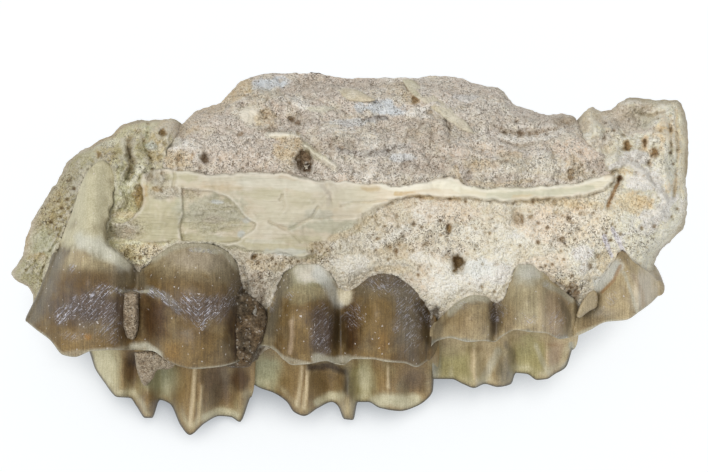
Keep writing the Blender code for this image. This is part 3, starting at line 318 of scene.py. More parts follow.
MOLAR_2 = {
    "neck": (
        (0, 259, 332, 2.6), (0.06, 266, 312, 3.8), (0.13, 275, 291, 4.4), (0.2, 286, 271, 4.8),
        (0.3, 301, 264, 5), (0.4, 316, 264, 5), (0.46, 327, 269, 4.8), (0.5, 337, 284, 4.4),
        (0.53, 346, 291, 4.2), (0.57, 353, 289, 4.2), (0.63, 367, 279, 4.6), (0.7, 379, 273, 4.8),
        (0.78, 392, 275, 4.8), (0.86, 405, 282, 4.4), (0.94, 421, 297, 3.6), (1, 432, 314, 2.4),
    ),
    "belly": (
        (0, 256, 338, 2.8), (0.1, 270, 330, 5.2), (0.22, 292, 318, 8), (0.33, 308, 314, 8.4),
        (0.43, 326, 318, 7), (0.5, 341, 324, 5.2), (0.57, 355, 320, 6.2), (0.7, 376, 314, 8.2),
        (0.84, 400, 318, 7.2), (1, 430, 334, 2.4),
    ),
    "tongue crest": (
        (0, 252, 346, 2.2), (0.07, 265, 346, 3.8), (0.13, 275, 351, 5.2), (0.18, 284, 360, 6.4),
        (0.24, 293, 365, 7), (0.33, 309, 364, 7), (0.42, 326, 361, 6), (0.48, 336, 364, 4.8),
        (0.52, 343, 365, 4.6), (0.58, 354, 359, 5.6), (0.66, 370, 359, 6.6), (0.76, 388, 362, 6.6),
        (0.85, 404, 363, 5.6), (0.92, 416, 367, 4.2), (1, 427, 361, 2),
    ),
    "valley": (
        (0, 256, 344, -0.4), (0.28, 300, 324, 0.8), (0.5, 341, 344, 0.4), (0.75, 386, 324, 0.8),
        (1, 430, 352, -0.4),
    ),
    "cheek crest": (
        (0, 245, 362, -3.4), (0.04, 246, 376, -3.8), (0.1, 258, 387, -4.2), (0.18, 274, 393, -4.2),
        (0.25, 287, 402, -4), (0.29, 294, 412, -4), (0.33, 304, 416, -4), (0.39, 318, 408, -4.2),
        (0.46, 332, 402, -4.8), (0.49, 338, 406, -5.2), (0.52, 344, 419, -5.4), (0.56, 353, 420, -5.4),
        (0.6, 358, 402, -5.2), (0.66, 368, 402, -4.6), (0.72, 380, 408, -4.2), (0.82, 400, 411, -4.2),
        (0.9, 417, 406, -4.6), (0.96, 433, 390, -5), (1, 434, 372, -4.8),
    ),
    "cheek belly": (
        (0, 250, 350, -7.2), (0.25, 290, 352, -7), (0.52, 347, 358, -8.2), (0.75, 386, 352, -7),
        (1, 430, 348, -7.6),
    ),
    "cheek neck": ((0, 258, 306, -7.6), (0.5, 345, 300, -9), (1, 430, 306, -7.8)),
}
MOLAR_1 = {
    "neck": (
        (0, 437, 322, 2), (0.1, 449, 309, 3.2), (0.2, 462, 299, 3.8), (0.3, 474, 295, 4),
        (0.4, 485, 296, 3.8), (0.5, 497, 303, 3.2), (0.55, 505, 297, 3.4), (0.6, 511, 277, 3.8),
        (0.65, 518, 265, 4), (0.73, 528, 264, 4), (0.82, 540, 270, 3.8), (0.9, 553, 281, 3.2),
        (1, 571, 297, 1.6),
    ),
    "belly": (
        (0, 433, 332, 2), (0.15, 453, 322, 4.8), (0.3, 474, 318, 6.2), (0.42, 489, 320, 5.4),
        (0.5, 499, 322, 4.2), (0.58, 510, 312, 5.2), (0.72, 529, 304, 6.6), (0.87, 552, 310, 5),
        (1, 571, 318, 1.4),
    ),
    "tongue crest": (
        (0, 429, 349, 1.6), (0.07, 437, 341, 2.8), (0.16, 450, 338, 4.2), (0.28, 468, 342, 5.2),
        (0.4, 484, 341, 4.6), (0.47, 494, 342, 3.8), (0.53, 503, 336, 3.8), (0.6, 515, 330, 4.8),
        (0.72, 530, 332, 5.2), (0.82, 545, 333, 4.4), (0.92, 560, 339, 2.8), (1, 568, 338, 1.2),
    ),
    "valley": (
        (0, 430, 346, -1.2), (0.25, 464, 316, -0.2), (0.5, 499, 332, -0.4), (0.75, 534, 308, -0.2),
        (1, 570, 334, -1.4),
    ),
    "cheek crest": (
        (0, 425, 352, -3.4), (0.02, 425, 368, -4), (0.08, 434, 379, -4.4), (0.18, 451, 379, -4.4),
        (0.26, 463, 384, -4.2), (0.34, 474, 388, -4.2), (0.42, 485, 384, -4.6), (0.5, 498, 387, -5.2),
        (0.57, 511, 384, -5.4), (0.62, 516, 373, -5.2), (0.7, 527, 374, -4.6), (0.77, 537, 380, -4.4),
        (0.84, 547, 379, -4.4), (0.89, 555, 374, -4.8), (0.95, 566, 367, -5.2), (1, 572, 350, -5),
    ),
    "cheek belly": (
        (0, 434, 338, -7), (0.28, 468, 342, -6.8), (0.52, 502, 344, -7.8), (0.76, 536, 338, -6.8),
        (1, 568, 332, -7.2),
    ),
    "cheek neck": ((0, 436, 302, -7.2), (0.5, 500, 296, -8.2), (1, 566, 294, -7.2)),
}
PREMOLAR_4 = {
    "neck": (
        (0, 578, 318, 0.8), (0.18, 587, 300, 1.8), (0.34, 600, 280, 2.2), (0.48, 613, 262, 2.6),
        (0.58, 622, 251, 2.8), (0.7, 634, 262, 2.6), (0.84, 647, 271, 1.6), (1, 657, 281, 0),
    ),
    "belly": (
        (0, 576, 328, 1), (0.25, 595, 310, 3.2), (0.5, 617, 296, 4.4), (0.62, 630, 290, 4.8),
        (0.75, 640, 290, 4), (1, 658, 288, 0),
    ),
    "tongue crest": (
        (0, 575, 337, 0.6), (0.2, 590, 330, 2.4), (0.38, 606, 322, 3.2), (0.58, 626, 320, 3.6),
        (0.72, 639, 312, 3.4), (0.88, 651, 303, 2), (1, 658, 296, 0),
    ),
    "valley": ((0, 577, 328, -2), (0.5, 615, 304, -1.4), (1, 655, 290, -2)),
    "cheek crest": (
        (0, 577, 332, -4.6), (0.25, 594, 324, -4.8), (0.55, 620, 314, -4.4), (0.8, 640, 304, -4.6),
        (1, 655, 290, -4.4),
    ),
    "cheek belly": ((0, 580, 312, -6.4), (0.5, 616, 296, -6.8), (1, 652, 280, -6)),
    "cheek neck": ((0, 582, 290, -6.4), (0.5, 616, 272, -6.8), (1, 650, 262, -6)),
}

# The faces of a tooth: the rails that each one passes, how far along it they lie, and its rows
TOOTH_FACES = (
    (("neck", "belly", "tongue crest"), (0.0, 0.6, 1.0), 84),
    (("tongue crest", "valley", "cheek crest"), (0.0, 0.45, 1.0), 64),
    (("cheek crest", "cheek belly", "cheek neck"), (0.0, 0.5, 1.0), 30),
    (("cheek neck", "neck"), (0.0, 1.0), 12),
)
TOOTH_END = 8.5
TOOTH_END_RINGS = 7
TOOTH_STEP = 1.3

# Loose slivers of bone
OVAL_SLIVER = (
    (336, 90), (346, 88), (357, 90), (367, 95), (376, 100), (366, 102), (352, 101), (343, 96),
)
SLAB_SLIVER = (
    (402, 80), (409, 79), (420, 86), (432, 92), (444, 101), (456, 112), (468, 124), (475, 134), (464, 131),
    (450, 122), (437, 112), (424, 103), (412, 94),
)
SLIVER_HEIGHT = 0.3
SLIVER_DEPTH = 0.8

# The enamel wedge that has cracked off the premolar
PREMOLAR_CHIP = (
    (576, 316), (580, 305), (588, 293), (595, 290), (598, 297), (597, 307), (588, 312), (580, 318),
)
CHIP_FRONT = 4.9
CHIP_BACK = 3.2


def tone(red, green, blue):
    """Colour from 0 to 255 values, as the renderer wants it."""
    def linear(value):
        value /= 255
        return value / 12.92 if value <= 0.04045 else ((value + 0.055) / 1.055) ** 2.4
    return (linear(red), linear(green), linear(blue), 1.0)


def through(stops, at):
    """Read a smooth curve through rows of (place, values...) at the given places, with no overshoot."""
    rows = np.asarray(stops, float)
    at = np.asarray(at, float)
    places, values = rows[:, 0], rows[:, 1:]
    step = np.diff(places)
    slope = np.diff(values, axis=0) / step[:, None]
    tangent = np.zeros_like(values)
    tangent[0], tangent[-1] = slope[0], slope[-1]
    before, after = slope[:-1], slope[1:]
    same_way = before * after > 0
    both = np.where(same_way, before + after, 1.0)
    tangent[1:-1] = np.where(same_way, 2 * before * after / both, 0.0)
    k = np.clip(np.searchsorted(places, at, side="right") - 1, 0, len(step) - 1)
    h = step[k][:, None]
    t = ((at - places[k]) / step[k])[:, None]
    start = (2 * t**3 - 3 * t**2 + 1) * values[k] + (t**3 - 2 * t**2 + t) * h * tangent[k]
    end = (3 * t**2 - 2 * t**3) * values[k + 1] + (t**3 - t**2) * h * tangent[k + 1]
    return start + end


def closed_curve(points, spacing):
    """Points at an even spacing along a closed line that passes softly through the given ones."""
    ring = np.asarray(points + points[:1], float)
    length = np.concatenate(([0.0], np.cumsum(np.hypot(*np.diff(ring, axis=0).T))))
    count = max(8, round(length[-1] / spacing))
    at = np.linspace(0, length[-1], count, endpoint=False)
    return through(np.column_stack((length, ring)), at)


def line_distance(x, y, path, closed=True):
    """Distance from each point to a path."""
    start, end = path, np.roll(path, -1, axis=0)
    if not closed:
        start, end = path[:-1], path[1:]
    best = np.full(x.shape, 1e9)
    for (sx, sy), (ex, ey) in zip(start, end):
        rx, ry = ex - sx, ey - sy
        t = np.clip(((x - sx) * rx + (y - sy) * ry) / max(rx * rx + ry * ry, 1e-9), 0, 1)
        best = np.minimum(best, np.hypot(x - sx - t * rx, y - sy - t * ry))
    return best


def near_path(x, y, path, margin):
    """True for each point within a margin of the box around a path."""
    low, high = path.min(axis=0) - margin, path.max(axis=0) + margin
    return (x > low[0]) & (x < high[0]) & (y > low[1]) & (y < high[1])


def inside(x, y, path):
    """True for each point inside a closed path."""
    result = np.zeros(x.shape, bool)
    for (ax, ay), (bx, by) in zip(path, np.roll(path, -1, axis=0)):
        if ay != by:
            crosses = (ay > y) != (by > y)
            result ^= crosses & (x < (bx - ax) * (y - ay) / (by - ay) + ax)
    return result


def reach_inside(x, y, outline, spacing=8):
    """Distance of each point inside an outline, less than zero outside it."""
    path = closed_curve(outline, spacing)
    return line_distance(x, y, path) * np.where(inside(x, y, path), 1, -1)


def soft_step(value):
    """Ease from 0 to 1."""
    value = np.clip(value, 0, 1)
    return value * value * (3 - 2 * value)


def net_depth(x, y, net):
    """Depth read from a net of heights, smooth between its knots."""
    heights = np.asarray(net, float)
    rows, columns = heights.shape
    across = np.clip((x - NET_START[0]) / NET_STEP[0], 0, columns - 1.001)
    down = np.clip((y - NET_START[1]) / NET_STEP[1], 0, rows - 1.001)
    column, row = across.astype(int), down.astype(int)

    def weights(t):
        return (
            (-t + 2 * t**2 - t**3) / 2, (2 - 5 * t**2 + 3 * t**3) / 2,
            (t + 4 * t**2 - 3 * t**3) / 2, (t**3 - t**2) / 2,
        )

    depth = np.zeros(x.shape)
    for i, row_share in enumerate(weights(down - row)):
        for j, column_share in enumerate(weights(across - column)):
            row_at = np.clip(row + i - 1, 0, rows - 1)
            column_at = np.clip(column + j - 1, 0, columns - 1)
            depth += row_share * column_share * heights[row_at, column_at]
    return depth


def waves(x, y, kinds):
    """Smooth, seeded unevenness, from -1 to 1 times each kind's height."""
    total = np.zeros(x.shape)
    for size, height, seed in kinds:
        table = np.random.default_rng(seed).uniform(-1, 1, (64, 64))
        across, down = x / size, y / size
        i, j = np.floor(across).astype(int), np.floor(down).astype(int)
        s, t = soft_step(across - i), soft_step(down - j)
        top = table[j % 64, i % 64] * (1 - s) + table[j % 64, (i + 1) % 64] * s
        low = table[(j + 1) % 64, i % 64] * (1 - s) + table[(j + 1) % 64, (i + 1) % 64] * s
        total += height * (top * (1 - t) + low * t)
    return total


def lumps(x, y, kinds):
    """Sum of soft lumps and pits."""
    total = np.zeros(x.shape)
    for cx, cy, half_width, half_height, height in kinds:
        total += height * np.exp(-(((x - cx) / half_width) ** 2) - ((y - cy) / half_height) ** 2)
    return total


def lines(x, y, kinds):
    """Sum of soft ridges along lines: height, half width, line."""
    total = np.zeros(x.shape)
    for height, half_width, path in kinds:
        path = np.asarray(path, float)
        near = near_path(x, y, path, 4 * half_width)
        away = line_distance(x[near], y[near], path, closed=False)
        total[near] += height * np.exp(-((away / half_width) ** 2))
    return total


def noise(spots, size, seed):
    """Smooth seeded noise from -1 to 1 at spots in space, with features of a given size."""
    across, down, depth = (np.asarray(spots, float) / size).T
    turn = math.cos(seed), math.sin(seed)
    turned = across * turn[0] - down * turn[1], across * turn[1] + down * turn[0]
    cell = np.column_stack((*turned, depth + 0.4))
    base = np.floor(cell).astype(np.int64)
    part = soft_step(cell - base)
    total = np.zeros(len(cell))
    for corner in np.ndindex(2, 2, 2):
        i, j, k = ((base + corner) & 1023).T
        mixed = (i * 73856093 ^ j * 19349663 ^ k * 83492791 ^ seed * 2971215073) & 0xFFFFFFFF
        mixed = ((mixed ^ (mixed >> 15)) * 739982445) & 0xFFFFFFFF
        mixed = ((mixed ^ (mixed >> 12)) * 695872825) & 0xFFFFFFFF
        value = ((mixed ^ (mixed >> 15)) & 0xFFFF) / 32767.5 - 1
        total += value * np.prod(np.where(corner, part, 1 - part), axis=1)
    return total


def rough(spots, size, seed, layers=3, fade=0.5):
    """Several layers of noise, each half the size of the one before."""
    total, height = np.zeros(len(spots)), 1.0
    for layer in range(layers):
        total += height * noise(spots, size / 2**layer, seed + layer)
        height *= fade
    return total


def broken(x, y, size, seed, layers=4, fade=0.55):
    """Rounded lumps with creases between them, from about -1 to 1, with lumps of a given size."""
    bent = flat(x, y) + 0.35 * size * np.column_stack((
        noise(flat(x, y), 0.8 * size, seed + 40), noise(flat(x, y), 0.8 * size, seed + 41), 0 * x))
    total, height = np.zeros(x.shape), 1.0
    for layer in range(layers):
        total += height * (2.6 * np.abs(noise(bent, size / 1.9**layer, seed + layer)) - 0.8)
        height *= fade
    return total


def flat(x, y, stretch=(1, 1)):
    """Grid spots as places for noise, stretched along the grid."""
    return np.column_stack((x / stretch[0], y / stretch[1], np.full(x.shape, 0.37)))


def ragged_curve(outline, spacing, push, size, seeds, *layers):
    """Closed curve through an outline, with its points pushed about by noise."""
    path = closed_curve(outline, spacing)
    return path + push * np.column_stack([rough(flat(*path.T), size, seed, *layers) for seed in seeds])


def scatter(x, y, share, spacing, reach, depth, seed):
    """Small round pits, one to a cell of the given spacing, kept where share allows."""
    rng = np.random.default_rng(seed)
    total = np.zeros(x.shape)
    columns, rows = int(720 / spacing), int(480 / spacing)
    across = (np.arange(columns)[None, :] + rng.uniform(0, 1, (rows, columns))) * spacing
    down = (np.arange(rows)[:, None] + rng.uniform(0, 1, (rows, columns))) * spacing
    keep = rng.uniform(0, 1, (rows, columns))
    size = rng.uniform(reach[0], reach[1], (rows, columns))
    i, j = (x / spacing).astype(int), (y / spacing).astype(int)
    for di in (-1, 0, 1):
        for dj in (-1, 0, 1):
            column, row = np.clip(i + di, 0, columns - 1), np.clip(j + dj, 0, rows - 1)
            away = np.hypot(x - across[row, column], y - down[row, column]) / size[row, column]
            there = keep[row, column] < share
            total = np.maximum(total, np.where(there, np.exp(-(away**2)) * size[row, column], 0))
    return depth * total / reach[1]


def place(spots):
    """World places in metres of grid spots with a depth in millimetres."""
    spots = np.asarray(spots, float)
    depth = spots[:, 2] * MM
    shrink = 1 - depth / SIGHT
    u = (SIGHT_POINT[0] - GRID_ORIGIN[0]) * UNIT + (spots[:, 0] - SIGHT_POINT[0]) * UNIT * shrink
    v = (GRID_ORIGIN[1] - SIGHT_POINT[1]) * UNIT + (SIGHT_POINT[1] - spots[:, 1]) * UNIT * shrink
    back = v * math.cos(LEAN) - depth * math.sin(LEAN)
    up = v * math.sin(LEAN) + depth * math.cos(LEAN)
    return np.column_stack((u + HOME[0], back + HOME[1], up + HOME[2]))


# What of the rear molar's root the bone covers, on its right
ROOT_COVER = (
    (116, 160), (116, 188), (113, 196), (114, 204), (109, 211), (110, 216), (106, 224), (105, 237),
    (107, 244), (118, 252), (127, 260), (140, 268), (150, 262), (150, 160),
)
ROOT_SINK = 3.0
ROOT_TOP = ((1.0, 84, 163, 8, 10), (0.5, 101, 156, 12, 7), (1.0, 121, 166, 8, 11))
# The broken ends of the jaw, where the bone is rougher
ENDS = ((1.0, 60, 200, 40, 90), (1.0, 140, 150, 45, 40), (1.0, 640, 140, 55, 50), (0.6, 670, 215, 24, 50))

# How the bone rises to a tooth's neck and laps over it, and how deep it lies behind the tooth
LAP_WIDTH = 9
LAP_RISE = 0.12
SOCKET_DEPTH = 4.5
SOCKET_EDGE = 1.6

# Crumbly stretches of the shelf, and smooth ones of the bone: strength, place, half width and height
SHELF_CRUMBLY = (
    (1, 122, 229, 22, 13), (0.9, 166, 192, 19, 6), (0.8, 156, 177, 12, 9), (0.7, 192, 193, 11, 5),
    (0.5, 214, 216, 30, 20), (0.8, 322, 250, 14, 9),
)
BONE_SMOOTH = (
    (1, 424, 213, 16, 10), (1, 352, 264, 24, 9), (0.8, 470, 234, 14, 10), (1, 482, 272, 38, 15),
    (1, 442, 284, 15, 17), (0.8, 580, 252, 14, 9), (0.8, 648, 178, 22, 13), (1, 138, 150, 9, 12),
    (1, 122, 150, 7, 12), (0.9, 42, 242, 17, 12), (0.7, 522, 236, 18, 10), (0.7, 424, 258, 16, 9),
)


def tooth_outline(rails):
    """Closed outline of a tooth's tongue side on the grid."""
    at = np.linspace(0, 1, 60)
    top = through(rails["neck"], at)[:, :2]
    low = through(rails["tongue crest"], at)[::-1, :2]
    return np.concatenate((top, low))


TEETH = {"molar_3": MOLAR_3, "molar_2": MOLAR_2, "molar_1": MOLAR_1, "premolar_4": PREMOLAR_4}
SOCKETS = [tooth_outline(rails) for rails in TEETH.values()]


def socket_reach(x, y):
    """Distance of each point inside the nearest tooth, less than zero outside the teeth."""
    reach = np.full(x.shape, -1e9)
    for path in SOCKETS:
        near = near_path(x, y, path, 40)
        away = line_distance(x[near], y[near], path)
        reach[near] = np.maximum(reach[near], away * np.where(inside(x[near], y[near], path), 1, -1))
    return np.minimum(reach, -reach_inside(x, y, ROOT_COVER, 3))


def neck_level(x, y):
    """Depth of the nearest place on the necks of the teeth."""
    nearest, level = np.full(x.shape, 1e9), np.zeros(x.shape)
    for rails in TEETH.values():
        neck = through(rails["neck"], np.linspace(0, 1, 60))
        for across, down, depth in neck:
            away = np.hypot(x - across, y - down)
            closer = away < nearest
            nearest[closer] = away[closer]
            level[closer] = depth
    return level


def shelf_share(x, y):
    """One on the palate shelf, zero off it."""
    wobble = 2.4 * rough(flat(x, y), 15, 41, 4, 0.6)
    edge = SHELF_EDGE * (1 + 5 * np.exp(-((x - 345) / 34) ** 2) * (y > 200))
    return soft_step((reach_inside(x, y, PALATE_SHELF) + wobble) / edge + 0.5)


def bone_front(x, y):
    """Depth of the jawbone's tongue side."""
    depth = net_depth(x, y, FACE_NET) + lumps(x, y, BONE_LUMPS) + waves(x, y, BONE_WAVES)
    shelf = shelf_share(x, y)
    height = np.interp(x, SHELF_ALONG, SHELF_HEIGHT)
    height = height - SHELF_FALL * soft_step((y - 205) / 40) * (x < 360)
    seat = reach_inside(x, y, MATRIX_OUTLINE) - 4 - 2 * rough(flat(x, y), 12, 43)
    bed = soft_step(seat / 5) * (1 - shelf)
    depth += height * shelf - MATRIX_BED * bed
    reach = socket_reach(x, y)
    lap = (1 - shelf) * np.exp(-((np.minimum(reach, 0) / LAP_WIDTH) ** 2))
    depth += lap * (neck_level(x, y) + LAP_RISE - depth)
    bare = 1 - shelf * (1 - blots(x, y, SHELF_CRUMBLY))
    calm = bare * (1 - 0.6 * blots(x, y, BONE_SMOOTH))
    ends = blots(x, y, ENDS)
    depth += calm * (0.24 + 0.3 * ends) * broken(x, y, 24, 51)
    depth += calm * (0.14 + 0.30 * ends) * rough(flat(x, y), 7, 54, 3, 0.7)
    depth -= 0.5 * calm * open_pores(x, y)
    grain = rough(flat(x + 0.4 * y, y - 0.06 * x, (26, 1)), 2.6, 71, 2, 0.6)
    depth += shelf * (0.05 * grain + 0.16 * broken(x, y, 30, 73) + 0.05 * rough(flat(x, y, (3, 1)), 8, 74))
    flake = soft_step(reach_inside(x, y, SHELF_FLAKE, 3) / FLAKE_EDGE + 0.5)
    depth -= shelf * flake * (FLAKE_DEPTH - 0.22 * rough(flat(x, y, (5, 1)), 5, 75, 3, 0.6))
    depth += bare * lines(x, y, BONE_RIDGES) - shelf * lines(x, y, SHELF_CRACKS) - lines(x, y, BONE_CRACKS)
    depth -= sum_pits(x, y, BONE_PITS)
    depth += 1.1 * blots(x, y, ROOT_TOP)
    ragged = 0.9 + 1.2 * rough(flat(x, y), 9, 77, 3, 0.6)
    ragged += 3 * blots(x, y, ROOT_TOP) * (1 + rough(flat(x, y), 7, 78))
    return depth - SOCKET_DEPTH * soft_step((reach - ragged) / SOCKET_EDGE)


def open_pores(x, y):
    """Small open pores of the bone, from 0 to 1."""
    share = 0.12 + 0.35 * blots(x, y, BONE_POROUS)
    return np.maximum(scatter(x, y, share, 7.5, (0.9, 2.0), 1.0, 61),
                      0.6 * scatter(x, y, 2 * share, 4.2, (0.7, 1.2), 1.0, 62))


def sum_pits(x, y, kinds):
    """Flat-bottomed pits with steep walls."""
    total = np.zeros(x.shape)
    uneven = 0.5 * rough(flat(x, y), 5, 57, 2, 0.7)
    for cx, cy, half_width, half_height, depth in kinds:
        away = np.hypot((x - cx) / half_width, (y - cy) / half_height) + uneven
        total += 0.55 * depth * soft_step((1.35 - away) / 0.9)
    return total


def matrix_front(x, y):
    """Depth of the rock's tongue side."""
    return net_depth(x, y, FACE_NET) + lumps(x, y, MATRIX_LUMPS) + waves(x, y, MATRIX_WAVES)


def rock_front(x, y):
    """Depth of the rock with its fine forms."""
    depth = matrix_front(x, y) + lines(x, y, ROCK_RIDGES)
    calm = 1 - 0.6 * blots(x, y, ROCK_SMOOTH)
    depth += calm * (0.50 * broken(x, y, 34, 81) + 0.20 * rough(flat(x, y), 9, 84, 4, 0.7))
    depth -= np.minimum(sum_pits(x, y, ROCK_PITS), 1.7)
    return depth - calm * scatter(x, y, 0.16, 7, (0.9, 1.9), 0.35, 86)


def cheek_back(x, y):
    """Depth of the jawbone's cheek side."""
    depth = net_depth(x, y, CHEEK_NET) + lumps(x, y, CHEEK_LUMPS) + waves(x, y, CHEEK_WAVES)
    worn = 0.45 * broken(x, y, 40, 65) + 0.2 * rough(flat(x, y), 14, 66, 3, 0.7)
    return depth - worn + scatter(x, y, 0.2, 9, (2.5, 4.0), 0.5, 67)


def matrix_back(x, y):
    """Depth of the rock where it lies on the bone behind it."""
    return MATRIX_BACK + waves(x, y, CHEEK_WAVES) * 0.5


def sheet(path, step, seed, rings, hidden=None):
    """Fill a closed path with small triangles. Fewer points go where hidden says that nothing shows."""
    points = [tuple(p) for p in path]
    edges = [(i, (i + 1) % len(path)) for i in range(len(path))]
    along = np.roll(path, -1, axis=0) - np.roll(path, 1, axis=0)
    normal = np.column_stack((-along[:, 1], along[:, 0])) / np.hypot(*along.T)[:, None]
    for reach in rings:
        for side in (1, -1):
            spot = path + side * reach * normal
            keep = inside(spot[:, 0], spot[:, 1], path)
            keep &= line_distance(spot[:, 0], spot[:, 1], path) > 0.9 * reach
            points += [tuple(p) for p in spot[keep]]
    low, high = path.min(axis=0), path.max(axis=0)
    grid = []
    for i, y in enumerate(np.arange(low[1], high[1], step * 0.866)):
        across = np.arange(low[0] + (i % 2) * step / 2, high[0], step)
        grid.append(np.column_stack((across, 0 * across + y, np.arange(len(across)), 0 * across + i)))
    grid = np.concatenate(grid)
    x, y = grid[:, 0], grid[:, 1]
    keep = inside(x, y, path) & (line_distance(x, y, path) > rings[-1] + 0.5 * step)
    if hidden is not None:
        coarse = (grid[:, 2] % HIDDEN_SHARE == 0) & (grid[:, 3] % HIDDEN_SHARE == 0)
        keep &= coarse | ~hidden(x, y)
    grid = grid[keep, :2] + np.random.default_rng(seed).uniform(-0.2, 0.2, (keep.sum(), 2)) * step
    points += [tuple(p) for p in grid]
    spots, _, faces, *_ = geometry.delaunay_2d_cdt([Vector(p) for p in points], edges, [], 1, 1e-4)
    return np.array([tuple(p) for p in spots]), [tuple(face) for face in faces]


def pebble(path, rim, front, back, steps, rings, rounds, hidden=None):
    """Grid spots and faces of a closed stone: a front and a back sheet that meet along its rim."""
    spots, faces, first = [], [], 0
    for depth, step, spread, seed, cover in (
        (front, steps[0], rounds[0], 5, hidden), (back, steps[1], rounds[1], 6, None),
    ):
        flat_spots, flat_faces = sheet(path, step, seed, rings, cover)
        x, y = flat_spots[:, 0], flat_spots[:, 1]
        spread = spread(x, y) if callable(spread) else spread
        near = np.clip(line_distance(x, y, path) / spread, 0, 1)
        near[near * 1000 < 0.05] = 0
        edge = rim(x, y)
        w = edge + (depth(x, y) - edge) * np.sqrt(1 - (1 - near) ** 2)
        spots.append(np.column_stack((x, y, w)))
        turn = 1 if first == 0 else -1
        faces += [tuple(first + i for i in face)[::turn] for face in flat_faces]
        first += len(x)
    return np.concatenate(spots), faces


def skin(rails):
    """Grid spots, faces and around-the-tooth places of a tooth skinned over its rails."""
    width = rails["neck"][-1][1] - rails["neck"][0][1]
    stations = np.linspace(0, 1, int(width / TOOTH_STEP) + 1)
    rows, around = [], []
    for face, (names, places, count) in enumerate(TOOTH_FACES):
        stops = np.array([through(rails[name], stations).ravel() for name in names])
        reading = np.linspace(0, 1, count, endpoint=False)
        rows.append(through(np.column_stack((places, stops)), reading).reshape(count, len(stations), 3))
        around.append(face + reading)
    rings = np.concatenate(rows).transpose(1, 0, 2)
    around = np.concatenate(around)
    ends = []
    for ring, side in ((rings[0], -1), (rings[-1], 1)):
        middle = ring.mean(axis=0)
        turns = np.linspace(0, math.pi / 2, TOOTH_END_RINGS + 1)[1:]
        ends.append([
            middle + (ring - middle) * max(math.cos(a), 0.02) + (side * TOOTH_END * math.sin(a), 0, 0)
            for a in turns
        ])
    rings = np.concatenate((ends[0][::-1], rings, ends[1]))
    count, size = rings.shape[:2]
    faces = []
    for i in range(count - 1):
        for k in range(size):
            n = (k + 1) % size
            faces.append((i * size + k, (i + 1) * size + k, (i + 1) * size + n, i * size + n))
    faces.append(tuple(range(size)))
    faces.append(tuple(range((count - 1) * size, count * size))[::-1])
    spots = rings.reshape(-1, 3)
    return spots, faces, np.tile(around, count)


class Shade:
    """Adds nodes to a tree and joins them."""

    def __init__(self, tree):
        self.tree = tree

    def add(self, kind, values=(), **settings):
        node = self.tree.nodes.new(kind)
        for name, value in settings.items():
            setattr(node, name, value)
        for socket, value in dict(values).items():
            self.join(value, node.inputs[socket])
        return node

    def join(self, value, socket):
        if isinstance(value, bpy.types.NodeSocket):
            self.tree.links.new(value, socket)
        else:
            socket.default_value = value

    def mask(self, name):
        return self.add("ShaderNodeAttribute", attribute_name=name).outputs["Fac"]

    def place(self, name):
        return self.add("ShaderNodeAttribute", attribute_name=name).outputs["Vector"]

    def paint(self):
        return self.add("ShaderNodeAttribute", attribute_name="paint").outputs["Color"]

    def math(self, operation, *values):
        return self.add("ShaderNodeMath", dict(enumerate(values)), operation=operation).outputs[0]

    def times(self, one, two):
        return self.math("MULTIPLY", one, two)

    def plus(self, one, two):
        return self.math("ADD", one, two)

    def mix(self, share, one, two, kind="MIX"):
        values = {0: share, 6: one, 7: two}
        return self.add("ShaderNodeMix", values, data_type="RGBA", blend_type=kind).outputs[2]

    def wash(self, share, colour, mask, dark, light):
        """Lay a dark and a light tone softly over a colour, in the pattern of a mask."""
        return self.mix(share, colour, self.mix(mask, tone(*dark), tone(*light)), "SOFT_LIGHT")

    def between(self, value, low, high):
        values = {"Value": value, "From Min": low, "From Max": high}
        return self.add("ShaderNodeMapRange", values, interpolation_type="SMOOTHSTEP").outputs["Result"]

    def lift(self, shader, height, distance):
        """Let a height stand out of the surface by up to a distance in metres."""
        bump = self.add("ShaderNodeBump", {"Height": height, "Distance": distance, "Strength": 0.9})
        self.join(bump.outputs[0], shader.inputs["Normal"])

    def effect(self, tree, **values):
        node = self.add("ShaderNodeGroup", node_tree=tree)
        for name, value in values.items():
            self.join(value, node.inputs[name])
        return node.outputs[0]


def new_effect(name, result, **inputs):
    """Start a shader node group with named inputs and one result."""
    tree = bpy.data.node_groups.new(name, "ShaderNodeTree")
    for title, value in inputs.items():
        kind = "NodeSocketVector" if value is None else "NodeSocketFloat"
        socket = tree.interface.new_socket(title, in_out="INPUT", socket_type=kind)
        if value is not None:
            socket.default_value = value
    tree.interface.new_socket(result, in_out="OUTPUT", socket_type="NodeSocketFloat")
    shade = Shade(tree)
    return shade, shade.add("NodeGroupInput").outputs, shade.add("NodeGroupOutput").inputs[0]


def field_share(shade, given, size, detail):
    """Noise from 0 to 1, of a size in grid units, spread about a half by its strength."""
    scaled = shade.add("ShaderNodeVectorMath", {0: given["Spot"], 1: size}, operation="DIVIDE")
    values = {"Vector": scaled.outputs[0], "Scale": 1.0, "Detail": detail, "Roughness": 0.6}
    field = shade.add("ShaderNodeTexNoise", values)
    strong = shade.times(shade.math("SUBTRACT", field.outputs[0], 0.5), given["Strength"])
    return shade.add("ShaderNodeMath", {0: strong, 1: 0.5}, operation="ADD", use_clamp=True).outputs[0]


def grain_effect():
    """Uneven grain from 0 to 1, of a size in grid units."""
    shade, given, result = new_effect("grain", "Share", Spot=None, Size=2.0, Strength=1.0, Detail=2.0)
    shade.join(field_share(shade, given, given["Size"], given["Detail"]), result)
    return shade.tree


def streak_effect():
    """Streaks from 0 to 1 that run along the grid, with their width and length in grid units."""
    shade, given, result = new_effect("streaks", "Share", Spot=None, Across=30.0, Down=2.0, Strength=1.0)
    size = shade.add("ShaderNodeCombineXYZ", {0: given["Across"], 1: given["Down"], 2: 12.0})
    shade.join(field_share(shade, given, size.outputs[0], 3.0), result)
    return shade.tree


